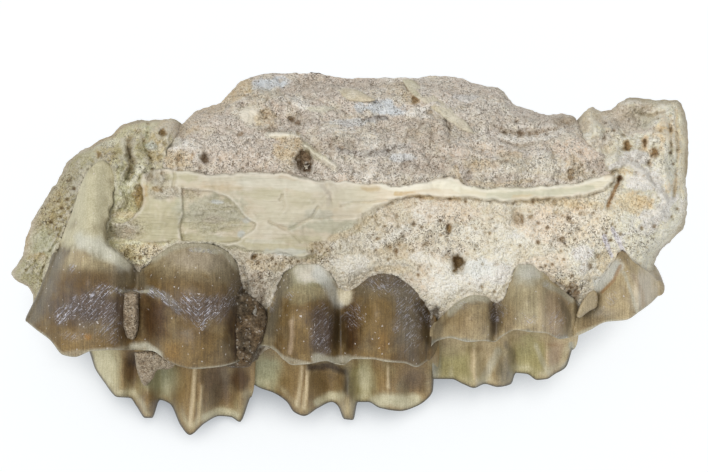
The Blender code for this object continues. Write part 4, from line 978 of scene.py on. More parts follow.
def pore_effect():
    """Round pores: one inside a pore, zero between pores. Size in grid units, share of cells with one."""
    shade, given, result = new_effect("pores", "Share", Spot=None, Size=4.0, Amount=0.5)
    scaled = shade.add("ShaderNodeVectorMath", {0: given["Spot"], 1: given["Size"]}, operation="DIVIDE")
    bend = shade.add("ShaderNodeTexNoise", {"Vector": scaled.outputs[0], "Scale": 1.3, "Detail": 1.0})
    moved = shade.add("ShaderNodeVectorMath", {0: bend.outputs["Color"], 3: 1.1}, operation="SCALE")
    bent = shade.add("ShaderNodeVectorMath", {0: scaled.outputs[0], 1: moved.outputs[0]}, operation="ADD")
    cells = shade.add("ShaderNodeTexVoronoi", {"Vector": bent.outputs[0], "Scale": 1.0})
    near = shade.between(cells.outputs["Distance"], 0.40, 0.24)
    dice = shade.add("ShaderNodeSeparateColor", {0: cells.outputs["Color"]})
    there = shade.math("LESS_THAN", dice.outputs[0], given["Amount"])
    shade.join(shade.times(near, there), result)
    return shade.tree


GRAIN = grain_effect()
STREAKS = streak_effect()
PORES = pore_effect()


def start_finish(name):
    """New material, its helper and its shader."""
    made = bpy.data.materials.new(name)
    made.use_nodes = True
    return made, Shade(made.node_tree), made.node_tree.nodes["Principled BSDF"]


def stone_finish(name, grit, colour_of_pores):
    """Dry stone or fossil bone: its painted colour under packed grains, mottling, pores and fibres, with
    painted shade in its hollows.
    """
    made, shade, shader = start_finish(name)
    spot = shade.place("grid")
    fibre, open_bone = shade.mask("fibre"), shade.mask("porous")
    loose = shade.math("SUBTRACT", 1.0, fibre)
    fine = shade.effect(GRAIN, Spot=spot, Size=1.5, Strength=3.0)
    coarse = shade.effect(GRAIN, Spot=spot, Size=3.4, Strength=2.6)
    medium = shade.effect(GRAIN, Spot=spot, Size=8.0, Strength=2.2)
    broad = shade.effect(GRAIN, Spot=spot, Size=22.0, Strength=2.4)
    streak = shade.effect(STREAKS, Spot=spot, Across=20.0, Down=1.8, Strength=2.2)
    layer = shade.effect(STREAKS, Spot=spot, Across=60.0, Down=9.0, Strength=2.2)
    colour = shade.wash(0.12, shade.paint(), broad, (176, 188, 184), (206, 182, 176))
    for share, grains, dark, light in (
        (0.34, medium, (150, 142, 128), (236, 233, 228)),
        (grit * 0.7, coarse, (112, 98, 82), (255, 252, 248)),
        (grit * 0.9, fine, (96, 84, 72), (255, 254, 252)),
    ):
        colour = shade.wash(shade.times(loose, share), colour, grains, dark, light)
    gaps = shade.times(shade.between(fine, 0.34, 0.22), shade.between(medium, 0.15, 0.6))
    gaps = shade.times(gaps, shade.times(shade.times(shade.plus(open_bone, 0.25), loose), 0.8))
    colour = shade.mix(gaps, colour, colour_of_pores)
    large = shade.effect(PORES, Spot=spot, Size=3.6, Amount=0.5)
    small = shade.effect(PORES, Spot=spot, Size=2.2, Amount=0.45)
    porous = shade.times(open_bone, shade.between(medium, 0.35, 0.8))
    pores = shade.times(shade.math("MAXIMUM", large, small), porous)
    colour = shade.mix(shade.times(pores, 0.7), colour, colour_of_pores)
    crumbs = shade.effect(PORES, Spot=spot, Size=3.1, Amount=0.30)
    colour = shade.mix(shade.times(crumbs, shade.times(loose, grit * 0.5)), colour, tone(232, 228, 220))
    colour = shade.wash(shade.times(fibre, 0.20), colour, streak, (146, 142, 118), (250, 248, 240))
    colour = shade.wash(shade.times(fibre, 0.26), colour, layer, (150, 146, 120), (250, 247, 236))
    colour = shade.mix(shade.times(shade.mask("worn"), 0.4), colour, tone(228, 223, 210))
    # Painted shade: the colour is darkened towards a brown in hollows and along seams, as the shade mask says
    painted_shade_tone = shade.mix(1.0, colour, tone(158, 142, 118), "MULTIPLY")
    colour = shade.mix(shade.mask("hollow"), colour, painted_shade_tone)
    shade.join(colour, shader.inputs["Base Color"])
    shade.join(shade.math("SUBTRACT", 0.9, shade.times(fibre, 0.34)), shader.inputs["Roughness"])
    rise = shade.times(shade.plus(shade.times(fine, 0.6), coarse), loose)
    rise = shade.math("SUBTRACT", rise, shade.times(pores, 1.2))
    shade.lift(shader, shade.plus(rise, shade.times(shade.times(streak, fibre), 0.3)), 0.00018)
    shader.inputs["Specular IOR Level"].default_value = 0.35
    return made


def enamel_finish(name):
    """Glossy fossil enamel: its painted colour under fine upright lines, clouds and frosty wear."""
    made, shade, shader = start_finish(name)
    spot = shade.place("grid")
    lined, frosty = shade.mask("lined"), shade.mask("frost")
    upright = shade.effect(STREAKS, Spot=spot, Across=1.3, Down=46.0, Strength=2.4)
    bands = shade.effect(STREAKS, Spot=spot, Across=7.0, Down=80.0, Strength=2.2)
    cloud = shade.effect(GRAIN, Spot=spot, Size=14.0, Strength=2.0)
    fine = shade.effect(GRAIN, Spot=spot, Size=1.5, Strength=2.6)
    dust = shade.effect(GRAIN, Spot=spot, Size=2.4, Strength=2.8)
    strokes = shade.effect(STREAKS, Spot=shade.place("flow"), Across=14.0, Down=1.7, Strength=3.0)
    stray = shade.effect(PORES, Spot=spot, Size=3.4, Amount=0.06)
    colour = shade.wash(0.40, shade.paint(), cloud, (112, 108, 98), (216, 212, 206))
    colour = shade.wash(shade.times(lined, 0.18), colour, bands, (108, 104, 98), (228, 220, 206))
    colour = shade.wash(shade.times(lined, 0.36), colour, upright, (78, 74, 66), (255, 250, 240))
    colour = shade.wash(0.34, colour, fine, (84, 78, 70), (255, 252, 248))
    frost = shade.times(frosty, shade.between(strokes, 0.60, 0.95))
    # Frosty wear: dusty, frosted and sparkling flecks, and stray specks. The sparkling flecks are partly
    # painted glints.
    for share, wear in (
        (shade.times(shade.times(frosty, shade.between(dust, 0.2, 1.0)), 0.26), (136, 130, 134)),
        (shade.times(frost, 0.85), (204, 202, 212)),
        (shade.times(frosty, shade.between(fine, 0.84, 1.0)), (232, 231, 238)),
        (shade.times(shade.between(stray, 0.9, 1.0), shade.mask("specks")), (214, 208, 204)),
    ):
        colour = shade.mix(share, colour, tone(*wear))
    shade.join(colour, shader.inputs["Base Color"])
    dull = shade.times(shade.plus(cloud, shade.mask("dull")), 0.22)
    shade.join(shade.plus(0.32, dull), shader.inputs["Roughness"])
    rise = shade.plus(shade.times(upright, 0.4), shade.times(frost, 1.4))
    shade.lift(shader, shade.plus(rise, shade.times(fine, 0.3)), 0.00006)
    shader.inputs["Specular IOR Level"].default_value = 0.4
    shader.inputs["Coat Weight"].default_value = 0.08
    shader.inputs["Coat Roughness"].default_value = 0.24
    return made


# Tones as seen in soft daylight, before the light share is taken out
TONES = {
    "cream": (202, 195, 174), "white cream": (214, 209, 192), "straw": (188, 182, 154),
    "moss": (168, 160, 130), "sage": (182, 180, 160), "chalk": (220, 213, 198), "ice": (200, 204, 202),
    "sand": (206, 196, 176), "pink sand": (212, 195, 175), "tan": (188, 170, 138), "ochre": (180, 152, 106),
    "rust": (146, 108, 62), "umber": (104, 84, 58), "pit shadow": (50, 42, 34), "taupe": (178, 168, 154),
    "pale taupe": (196, 187, 173), "rock brown": (156, 144, 126), "slate": (146, 144, 140),
    "stone": (192, 182, 168), "earth": (66, 58, 45), "ivory": (193, 188, 162), "fawn": (158, 147, 120),
    "brown": (114, 97, 70), "gold": (130, 111, 78), "dark brown": (84, 68, 46), "grey": (120, 114, 100),
    "plum": (94, 84, 78), "pale green": (156, 156, 130), "yellow green": (158, 152, 116),
    "cream white": (186, 182, 158), "pink tan": (168, 150, 128), "blue grey": (146, 148, 142),
    "edge": (80, 77, 69), "buccal": (142, 124, 94), "amber": (148, 114, 66), "light tan": (174, 160, 131),
    "pearl": (178, 176, 162), "rib": (186, 172, 144), "violet": (176, 174, 186), "groove shade": (84, 74, 58),
}
# Share of the light that reaches bone and rock, the tongue faces and the cheek cusps of the teeth
LIGHT_SHARE = 0.92
FACE_SHARE = 1.0
CUSP_SHARE = 0.86
# What the gloss of enamel adds to its colour
GLOSS_LIGHT = 0.03


def seen(name, gloss=0, share=LIGHT_SHARE):
    """A tone with its share of the light and the light of its gloss taken out, for a surface colour."""
    return np.maximum(np.array(tone(*TONES[name])[:3]) - gloss, 0.008) / share


def patch_share(x, y, patch, ragged, edge):
    """Share of a soft patch: strength, then x, y, half width and half height, or half width and a line."""
    strength, rest = patch[0], patch[1:]
    if len(rest) == 2:
        path = np.asarray(rest[1], float)
        away = np.full(x.shape, 9.0)
        near = near_path(x, y, path, 2.2 * rest[0])
        away[near] = line_distance(x[near], y[near], path, closed=False) / rest[0]
    else:
        away = np.hypot((x - rest[0]) / rest[2], (y - rest[1]) / rest[3])
    return strength * soft_step((1 + edge / 2 - away + ragged) / edge)


def paint(spots, ground, patches, mottles=(), ragged=0.3, edge=0.8, gloss=0, share=LIGHT_SHARE):
    """Surface colours: a ground tone, mottles of tone, strength, size and seed, then patches in turn."""
    x, y = spots[:, 0], spots[:, 1]
    solid = spots * (1, 1, 10)
    uneven = ragged * rough(solid, 9, 91, 3, 0.6)
    colours = np.tile(seen(ground, gloss, share), (len(x), 1))
    for name, strength, size, seed in mottles:
        spread = strength * soft_step(1.2 * rough(solid, size, seed, 4, 0.6) + 0.2)[:, None]
        colours += spread * (seen(name, gloss, share) - colours)
    for patch in patches:
        spread = patch_share(x, y, patch[1:], uneven, edge)[:, None]
        colours += spread * (seen(patch[0], gloss, share) - colours)
    return colours


def blots(x, y, kinds, ragged=0.3, edge=0.8):
    """Soft patches, joined by the largest."""
    uneven = ragged * rough(flat(x, y), 8, 93, 3, 0.6)
    best = np.zeros(x.shape)
    for kind in kinds:
        best = np.maximum(best, patch_share(x, y, kind, uneven, edge))
    return best


# How bright the bare bone and the shelf are along the jaw, and how their colour leans. The bare bone's
# brightness is partly its own tone and partly painted light: it is painted lighter towards the right end,
# where the bone curves away from the light.
BARE_LIGHT = ((60, 130, 200, 300, 450, 560, 700), (0.94, 1.18, 1.06, 0.99, 1.26, 1.38, 1.6))
WARMTH = (1.0, 1.03, 1.07)
LEFT_TINGE = (1.0, 1.0, 0.86)
SHELF_LIGHT = ((100, 160, 240, 340, 400, 600), (0.85, 0.81, 0.73, 0.74, 0.98, 1.06))
BRIGHTEST = (0.96, 0.92, 0.85)
BACK_LIGHT = 0.92
ROCK_LIGHT = (1.22, 1.23, 1.30)
ROCK_ALONG = ((200, 400, 560), (1.0, 1.0, 1.07))
# Painted shade in pits: the share of red, green and blue that a pit takes from the colour
BONE_PIT_SHADE = (0.66, 0.75, 0.86)
ROCK_PIT_SHADE = (0.42, 0.50, 0.60)
# Mottles: tone, strength, size and seed
BONE_MOTTLES = (
    ("pink sand", 0.6, 44, 101), ("chalk", 0.6, 26, 102), ("tan", 0.25, 17, 103), ("cream", 0.4, 12, 104),
)
BACK_MOTTLES = BONE_MOTTLES + (("straw", 0.6, 50, 107), ("tan", 0.7, 30, 108), ("rock brown", 0.4, 16, 109))
ROCK_MOTTLES = (
    ("pink sand", 0.5, 48, 111), ("chalk", 0.6, 30, 112), ("rock brown", 0.3, 22, 113),
    ("slate", 0.15, 34, 114), ("cream", 0.5, 12, 115),
)
CRUMB_MOTTLES = (("umber", 0.5, 14, 131), ("rock brown", 0.3, 8, 132))
TOOTH_MOTTLES = (("grey", 0.4, 26, 121), ("dark brown", 0.35, 18, 122), ("fawn", 0.25, 12, 123))
CUSP_MOTTLES = (("pale green", 0.3, 22, 124), ("brown", 0.3, 14, 125))
# Patches: tone, strength, then x, y, half width and half height, or half width and a line
BONE_PAINT = (
    ("pink sand", 0.7, 660, 150, 34, 60), ("tan", 0.4, 676, 150, 12, 50), ("straw", 0.8, 85, 190, 78, 92),
    ("moss", 0.4, 70, 230, 40, 60), ("tan", 0.5, 60, 214, 16, 30), ("tan", 0.5, 108, 152, 16, 8),
    ("chalk", 0.7, 112, 142, 14, 5), ("ochre", 0.5, 128, 176, 5, 16),
    # Painted shadow to the right of the root, down 120, 160 to 206
    ("rock brown", 0.7, 2.4, ((120, 160), (122, 180), (119, 206))),
    ("rock brown", 0.6, 2, ((141, 136), (146, 150))), ("chalk", 0.6, 3, ((70, 170), (84, 156), (100, 146))),
    ("ochre", 0.6, 3, ((62, 188), (55, 205), (48, 222))), ("moss", 0.8, 66, 190, 34, 50),
    ("taupe", 0.5, 76, 182, 12, 16), ("sage", 0.8, 42, 244, 16, 12), ("tan", 0.5, 58, 206, 12, 22),
    ("cream", 0.6, 90, 150, 14, 5), ("chalk", 0.6, 102, 144, 10, 4), ("tan", 0.5, 106, 156, 12, 8),
    ("ochre", 0.7, 98, 154, 4, 3.5), ("moss", 0.6, 122, 150, 8, 12), ("moss", 0.9, 138, 150, 9, 11),
    ("sage", 0.8, 150, 136, 5, 8), ("rock brown", 0.7, 4, ((131, 138), (129, 150), (133, 164), (126, 176))),
    ("tan", 0.7, 156, 148, 8, 18), ("pink sand", 0.7, 168, 126, 12, 6), ("sage", 0.4, 146, 123, 16, 4),
    ("sage", 0.8, 124, 188, 9, 26), ("moss", 0.5, 128, 205, 10, 8), ("white cream", 1, 143, 170, 7, 6),
    ("white cream", 1, 134, 184, 9, 4), ("ice", 0.8, 152, 146, 6, 4), ("ochre", 0.7, 141, 196, 7, 13),
    ("pink sand", 0.6, 126, 215, 14, 4), ("cream", 1, 122, 228, 17, 10), ("straw", 0.9, 110, 232, 5, 9),
    ("pink sand", 0.5, 128, 230, 8, 4), ("moss", 0.7, 22, 272, 14, 12), ("straw", 0.6, 24, 266, 8, 5),
    ("ochre", 0.6, 38, 257, 9, 4), ("moss", 0.8, 36, 290, 12, 26), ("straw", 0.5, 38, 276, 5, 14),
    ("tan", 0.7, 130, 252, 14, 8), ("pink sand", 0.7, 150, 251, 13, 8),
    ("white cream", 0.8, 134, 243, 8, 1.6), ("straw", 0.9, 162, 218, 26, 22), ("cream", 0.8, 168, 180, 18, 8),
    ("white cream", 0.7, 166, 193, 16, 5), ("ochre", 0.6, 157, 189, 5, 3), ("straw", 0.4, 150, 226, 14, 12),
    ("straw", 0.8, 186, 176, 20, 5), ("sage", 0.9, 214, 212, 34, 20), ("straw", 0.7, 214, 226, 34, 6),
    ("moss", 0.4, 222, 205, 18, 6), ("straw", 0.4, 192, 196, 9, 6), ("taupe", 0.5, 215, 220, 12, 4),
    # The ice spot at 217, 202, in the flaked recess of the shelf, is a painted highlight on a glossy streak
    ("tan", 0.5, 222, 188, 20, 3), ("ice", 0.9, 217, 202, 8, 2.4), ("ice", 0.8, 240, 234, 4, 4),
    ("ice", 0.7, 216, 238, 10, 2), ("ice", 0.6, 246, 220, 5, 3),
    ("straw", 0.8, 6, ((186, 238), (240, 244), (290, 250), (310, 252))), ("cream", 0.9, 290, 206, 44, 18),
    ("straw", 0.6, 262, 194, 20, 5), ("straw", 0.4, 300, 198, 14, 8),
    ("white cream", 0.9, 4.5, ((246, 181), (270, 182), (300, 186), (322, 189))),
    ("white cream", 0.5, 3, ((200, 178), (225, 178), (250, 180))),
    ("white cream", 0.8, 1.6, ((246, 241), (264, 241), (284, 242))),
    ("tan", 0.5, 1.6, ((206, 170), (240, 170), (300, 173))), ("sage", 0.8, 334, 226, 36, 6),
    ("straw", 0.7, 300, 240, 22, 5), ("pearl", 0.6, 320, 214, 14, 5), ("cream", 0.8, 350, 195, 20, 8),
    ("taupe", 0.5, 2.5, ((322, 186), (330, 194), (328, 204))), ("tan", 0.8, 372, 188, 8, 4),
    ("straw", 0.8, 2.4, ((300, 256), (318, 258), (324, 254))), ("ice", 0.5, 290, 252, 22, 4),
    # Along the ledge: the pale top edges are partly pale bone and partly painted highlight; the ochre and tan
    # lines under it, at 396 to 460 and 516 to 600, and the ochre spot at 574, 206, are painted shadow under
    # the ledge
    ("white cream", 0.9, 4, ((384, 185), (400, 188), (430, 185), (452, 184), (460, 190))),
    ("cream", 0.9, 6, ((464, 191), (500, 194), (550, 190), (606, 182))),
    ("white cream", 0.8, 2.4, ((464, 187), (500, 190), (550, 186), (606, 179))),
    ("straw", 0.5, 2, ((474, 188), (500, 190), (530, 186), (548, 184))),
    ("sage", 0.8, 3.4, ((490, 196), (540, 194), (592, 188))),
    ("ochre", 0.7, 2.4, ((396, 194), (412, 194), (430, 198), (460, 199))),
    ("tan", 0.7, 4, ((516, 199), (540, 199), (562, 203), (600, 206))), ("ochre", 0.4, 574, 206, 12, 3),
    ("tan", 0.5, 3, ((330, 240), (345, 234), (362, 226), (380, 214))), ("chalk", 0.9, 424, 213, 15, 9),
    ("chalk", 0.8, 4, ((372, 246), (388, 240), (400, 230), (412, 227))), ("chalk", 0.8, 350, 264, 22, 9),
    ("chalk", 0.6, 470, 234, 12, 9), ("chalk", 0.9, 482, 272, 36, 14), ("chalk", 0.9, 442, 284, 14, 16),
    ("chalk", 0.7, 424, 258, 14, 7), ("chalk", 0.6, 522, 236, 16, 8), ("chalk", 0.8, 580, 252, 12, 8),
    ("chalk", 0.6, 500, 262, 14, 14), ("ice", 0.4, 480, 268, 20, 10), ("pink sand", 0.6, 450, 212, 40, 12),
    ("pink sand", 0.7, 548, 226, 32, 16), ("pink sand", 0.6, 590, 228, 22, 18),
    ("pink sand", 0.6, 556, 264, 24, 10), ("sand", 0.4, 448, 240, 24, 10), ("tan", 0.6, 320, 251, 14, 9),
    ("tan", 0.6, 562, 284, 20, 8), ("tan", 0.6, 266, 264, 22, 8), ("tan", 0.5, 300, 262, 24, 4),
    ("tan", 0.6, 390, 270, 20, 4), ("tan", 0.4, 395, 252, 16, 10), ("tan", 0.4, 372, 224, 14, 8),
    # Painted shade in the gaps between the teeth, partly dark sand: the dark patches at 250 to 256, between
    # the rear two molars, and at 434, between the middle two
    ("earth", 0.95, 250, 322, 17, 30), ("umber", 0.6, 252, 346, 12, 14),
    ("rock brown", 0.8, 256, 286, 10, 14), ("earth", 0.9, 250, 352, 12, 12),
    ("umber", 0.8, 140, 268, 12, 3.4), ("umber", 0.5, 3, ((546, 276), (560, 284), (574, 292))),
    ("umber", 0.8, 573, 290, 5, 10), ("earth", 0.9, 434, 322, 6, 14),
    # Painted light and shade on the right end: pale along its ridges and darker along its grooves, down to
    # the line at 636 to 664, 112
    ("white cream", 0.8, 4, ((612, 168), (630, 160), (646, 172), (660, 190), (668, 204))),
    ("tan", 0.7, 3, ((606, 176), (622, 170), (636, 176))),
    ("rock brown", 0.5, 2, ((640, 150), (652, 160), (650, 178))),
    ("tan", 0.6, 3, ((664, 116), (662, 150), (668, 190))),
    ("cream", 0.7, 4, ((655, 112), (672, 110), (680, 120))),
    ("rock brown", 0.5, 3, ((598, 118), (606, 130), (600, 146))),
    ("tan", 0.6, 2, ((676, 110), (678, 150), (674, 196))),
    ("rock brown", 0.5, 2, ((636, 112), (650, 116), (664, 112))), ("taupe", 0.9, 634, 120, 26, 16),
    ("rock brown", 0.4, 634, 124, 16, 8), ("sage", 0.5, 648, 120, 12, 8), ("chalk", 0.5, 630, 101, 18, 3),
    ("cream", 0.8, 620, 145, 12, 12), ("ochre", 0.7, 627, 146, 4, 5), ("ochre", 0.7, 654, 153, 5, 6),
    ("ochre", 0.5, 645, 142, 4, 8), ("chalk", 0.8, 634, 160, 16, 8), ("white cream", 0.8, 648, 178, 20, 12),
    ("pink sand", 0.8, 664, 165, 14, 16), ("tan", 0.5, 662, 130, 10, 10), ("tan", 0.7, 634, 203, 20, 10),
    ("ochre", 0.35, 640, 200, 12, 6), ("chalk", 0.8, 664, 212, 6, 10), ("cream", 0.6, 676, 215, 10, 20),
    ("straw", 0.5, 3, ((680, 112), (683, 140), (684, 170))), ("tan", 0.5, 590, 116, 10, 8),
    ("taupe", 0.7, 604, 138, 10, 8), ("cream", 0.8, 597, 130, 9, 6), ("rock brown", 0.6, 584, 126, 6, 5),
    ("rust", 0.8, 2, ((620, 178), (616, 187), (611, 198), (608, 206))), ("pink sand", 0.7, 645, 240, 18, 14),
    ("rust", 0.9, 2, ((619, 254), (623, 264), (621, 272), (611, 284), (603, 292))),
    ("violet", 0.7, 2, ((604, 236), (608, 248), (612, 256))),
    ("violet", 0.6, 2, ((612, 228), (620, 244), (626, 258))), ("tan", 0.6, 604, 262, 6, 12),
    ("ice", 0.9, 5, ((616, 266), (610, 274), (600, 284))),
)
ROCK_PAINT = (
    ("tan", 0.8, 7, ((184, 130), (205, 114), (232, 98), (246, 86))), ("stone", 0.6, 210, 122, 26, 8),
    ("taupe", 0.5, 5, ((196, 116), (222, 108), (250, 104))), ("cream", 0.6, 248, 113, 15, 11),
    ("pale taupe", 0.8, 225, 146, 50, 14), ("chalk", 0.8, 180, 144, 18, 5), ("sage", 0.5, 172, 143, 10, 4),
    ("tan", 0.8, 176, 160, 14, 10), ("rock brown", 0.6, 182, 130, 5, 7), ("pink sand", 0.4, 240, 160, 50, 10),
    ("ice", 1, 276, 84, 18, 7), ("chalk", 1, 5, ((276, 90), (290, 98), (306, 105))),
    ("sage", 0.7, 320, 109, 14, 3), ("taupe", 0.8, 312, 88, 32, 10), ("rock brown", 0.3, 300, 84, 14, 6),
    ("tan", 0.6, 268, 118, 12, 8), ("rock brown", 0.6, 267, 130, 10, 4), ("moss", 0.3, 262, 94, 16, 6),
    ("cream", 1, 3.4, ((268, 135), (282, 134), (297, 135))), ("tan", 0.8, 290, 150, 15, 12),
    # Painted shadow in the big pit at 303, 159: a brown spot and a near-black one at its bottom
    ("rock brown", 0.9, 303, 159, 9, 9), ("pit shadow", 0.9, 308, 167, 4, 3.6),
    ("rock brown", 0.5, 298, 122, 8, 8), ("straw", 0.9, 4, ((306, 146), (316, 155), (334, 167))),
    ("chalk", 0.8, 2, ((336, 130), (354, 131))), ("rock brown", 0.5, 335, 145, 24, 9),
    ("slate", 0.6, 3, ((338, 150), (360, 154), (386, 154))), ("slate", 0.4, 3, ((386, 148), (410, 146))),
    ("ice", 1, 384, 108, 26, 7), ("chalk", 1, 424, 112, 16, 6),
    ("slate", 0.9, 2.4, ((366, 121), (376, 117), (386, 118))), ("rock brown", 0.3, 350, 118, 16, 8),
    ("taupe", 0.7, 360, 84, 40, 6), ("tan", 0.4, 400, 88, 16, 8), ("ochre", 0.7, 415, 99, 5, 6),
    ("tan", 0.6, 408, 96, 8, 10), ("rock brown", 0.35, 420, 132, 50, 12),
    ("pale taupe", 0.6, 340, 168, 30, 8), ("chalk", 0.5, 380, 176, 34, 4),
    ("pink sand", 0.5, 345, 180, 14, 5), ("taupe", 0.7, 420, 164, 30, 10), ("ice", 0.7, 404, 158, 14, 4),
    ("ice", 0.6, 350, 122, 20, 4), ("chalk", 0.5, 370, 138, 10, 8), ("stone", 0.7, 460, 92, 34, 12),
    ("ice", 0.4, 466, 98, 12, 4), ("taupe", 0.5, 480, 122, 30, 8), ("pink sand", 0.5, 480, 150, 26, 8),
    ("tan", 0.6, 482, 164, 14, 8), ("rock brown", 0.8, 3, ((502, 131), (520, 135), (540, 133), (556, 130))),
    ("rock brown", 0.6, 2.5, ((504, 142), (520, 146), (534, 142))), ("taupe", 0.6, 530, 120, 26, 6),
    ("chalk", 0.7, 3, ((500, 136), (520, 140), (540, 138), (562, 131))), ("tan", 0.5, 512, 156, 14, 6),
    ("cream", 0.6, 540, 165, 34, 12), ("pink sand", 0.7, 582, 150, 24, 14),
    ("rock brown", 0.8, 566, 121, 16, 4), ("tan", 0.5, 574, 168, 12, 12), ("taupe", 0.6, 600, 158, 10, 10),
    ("tan", 0.7, 2.5, ((456, 168), (458, 178), (462, 187))),
    ("tan", 0.5, 2.5, ((470, 182), (500, 186), (530, 180))), ("chalk", 0.5, 494, 172, 12, 5),
    ("cream", 0.5, 510, 190, 40, 6), ("rock brown", 0.3, 260, 172, 50, 3),
)
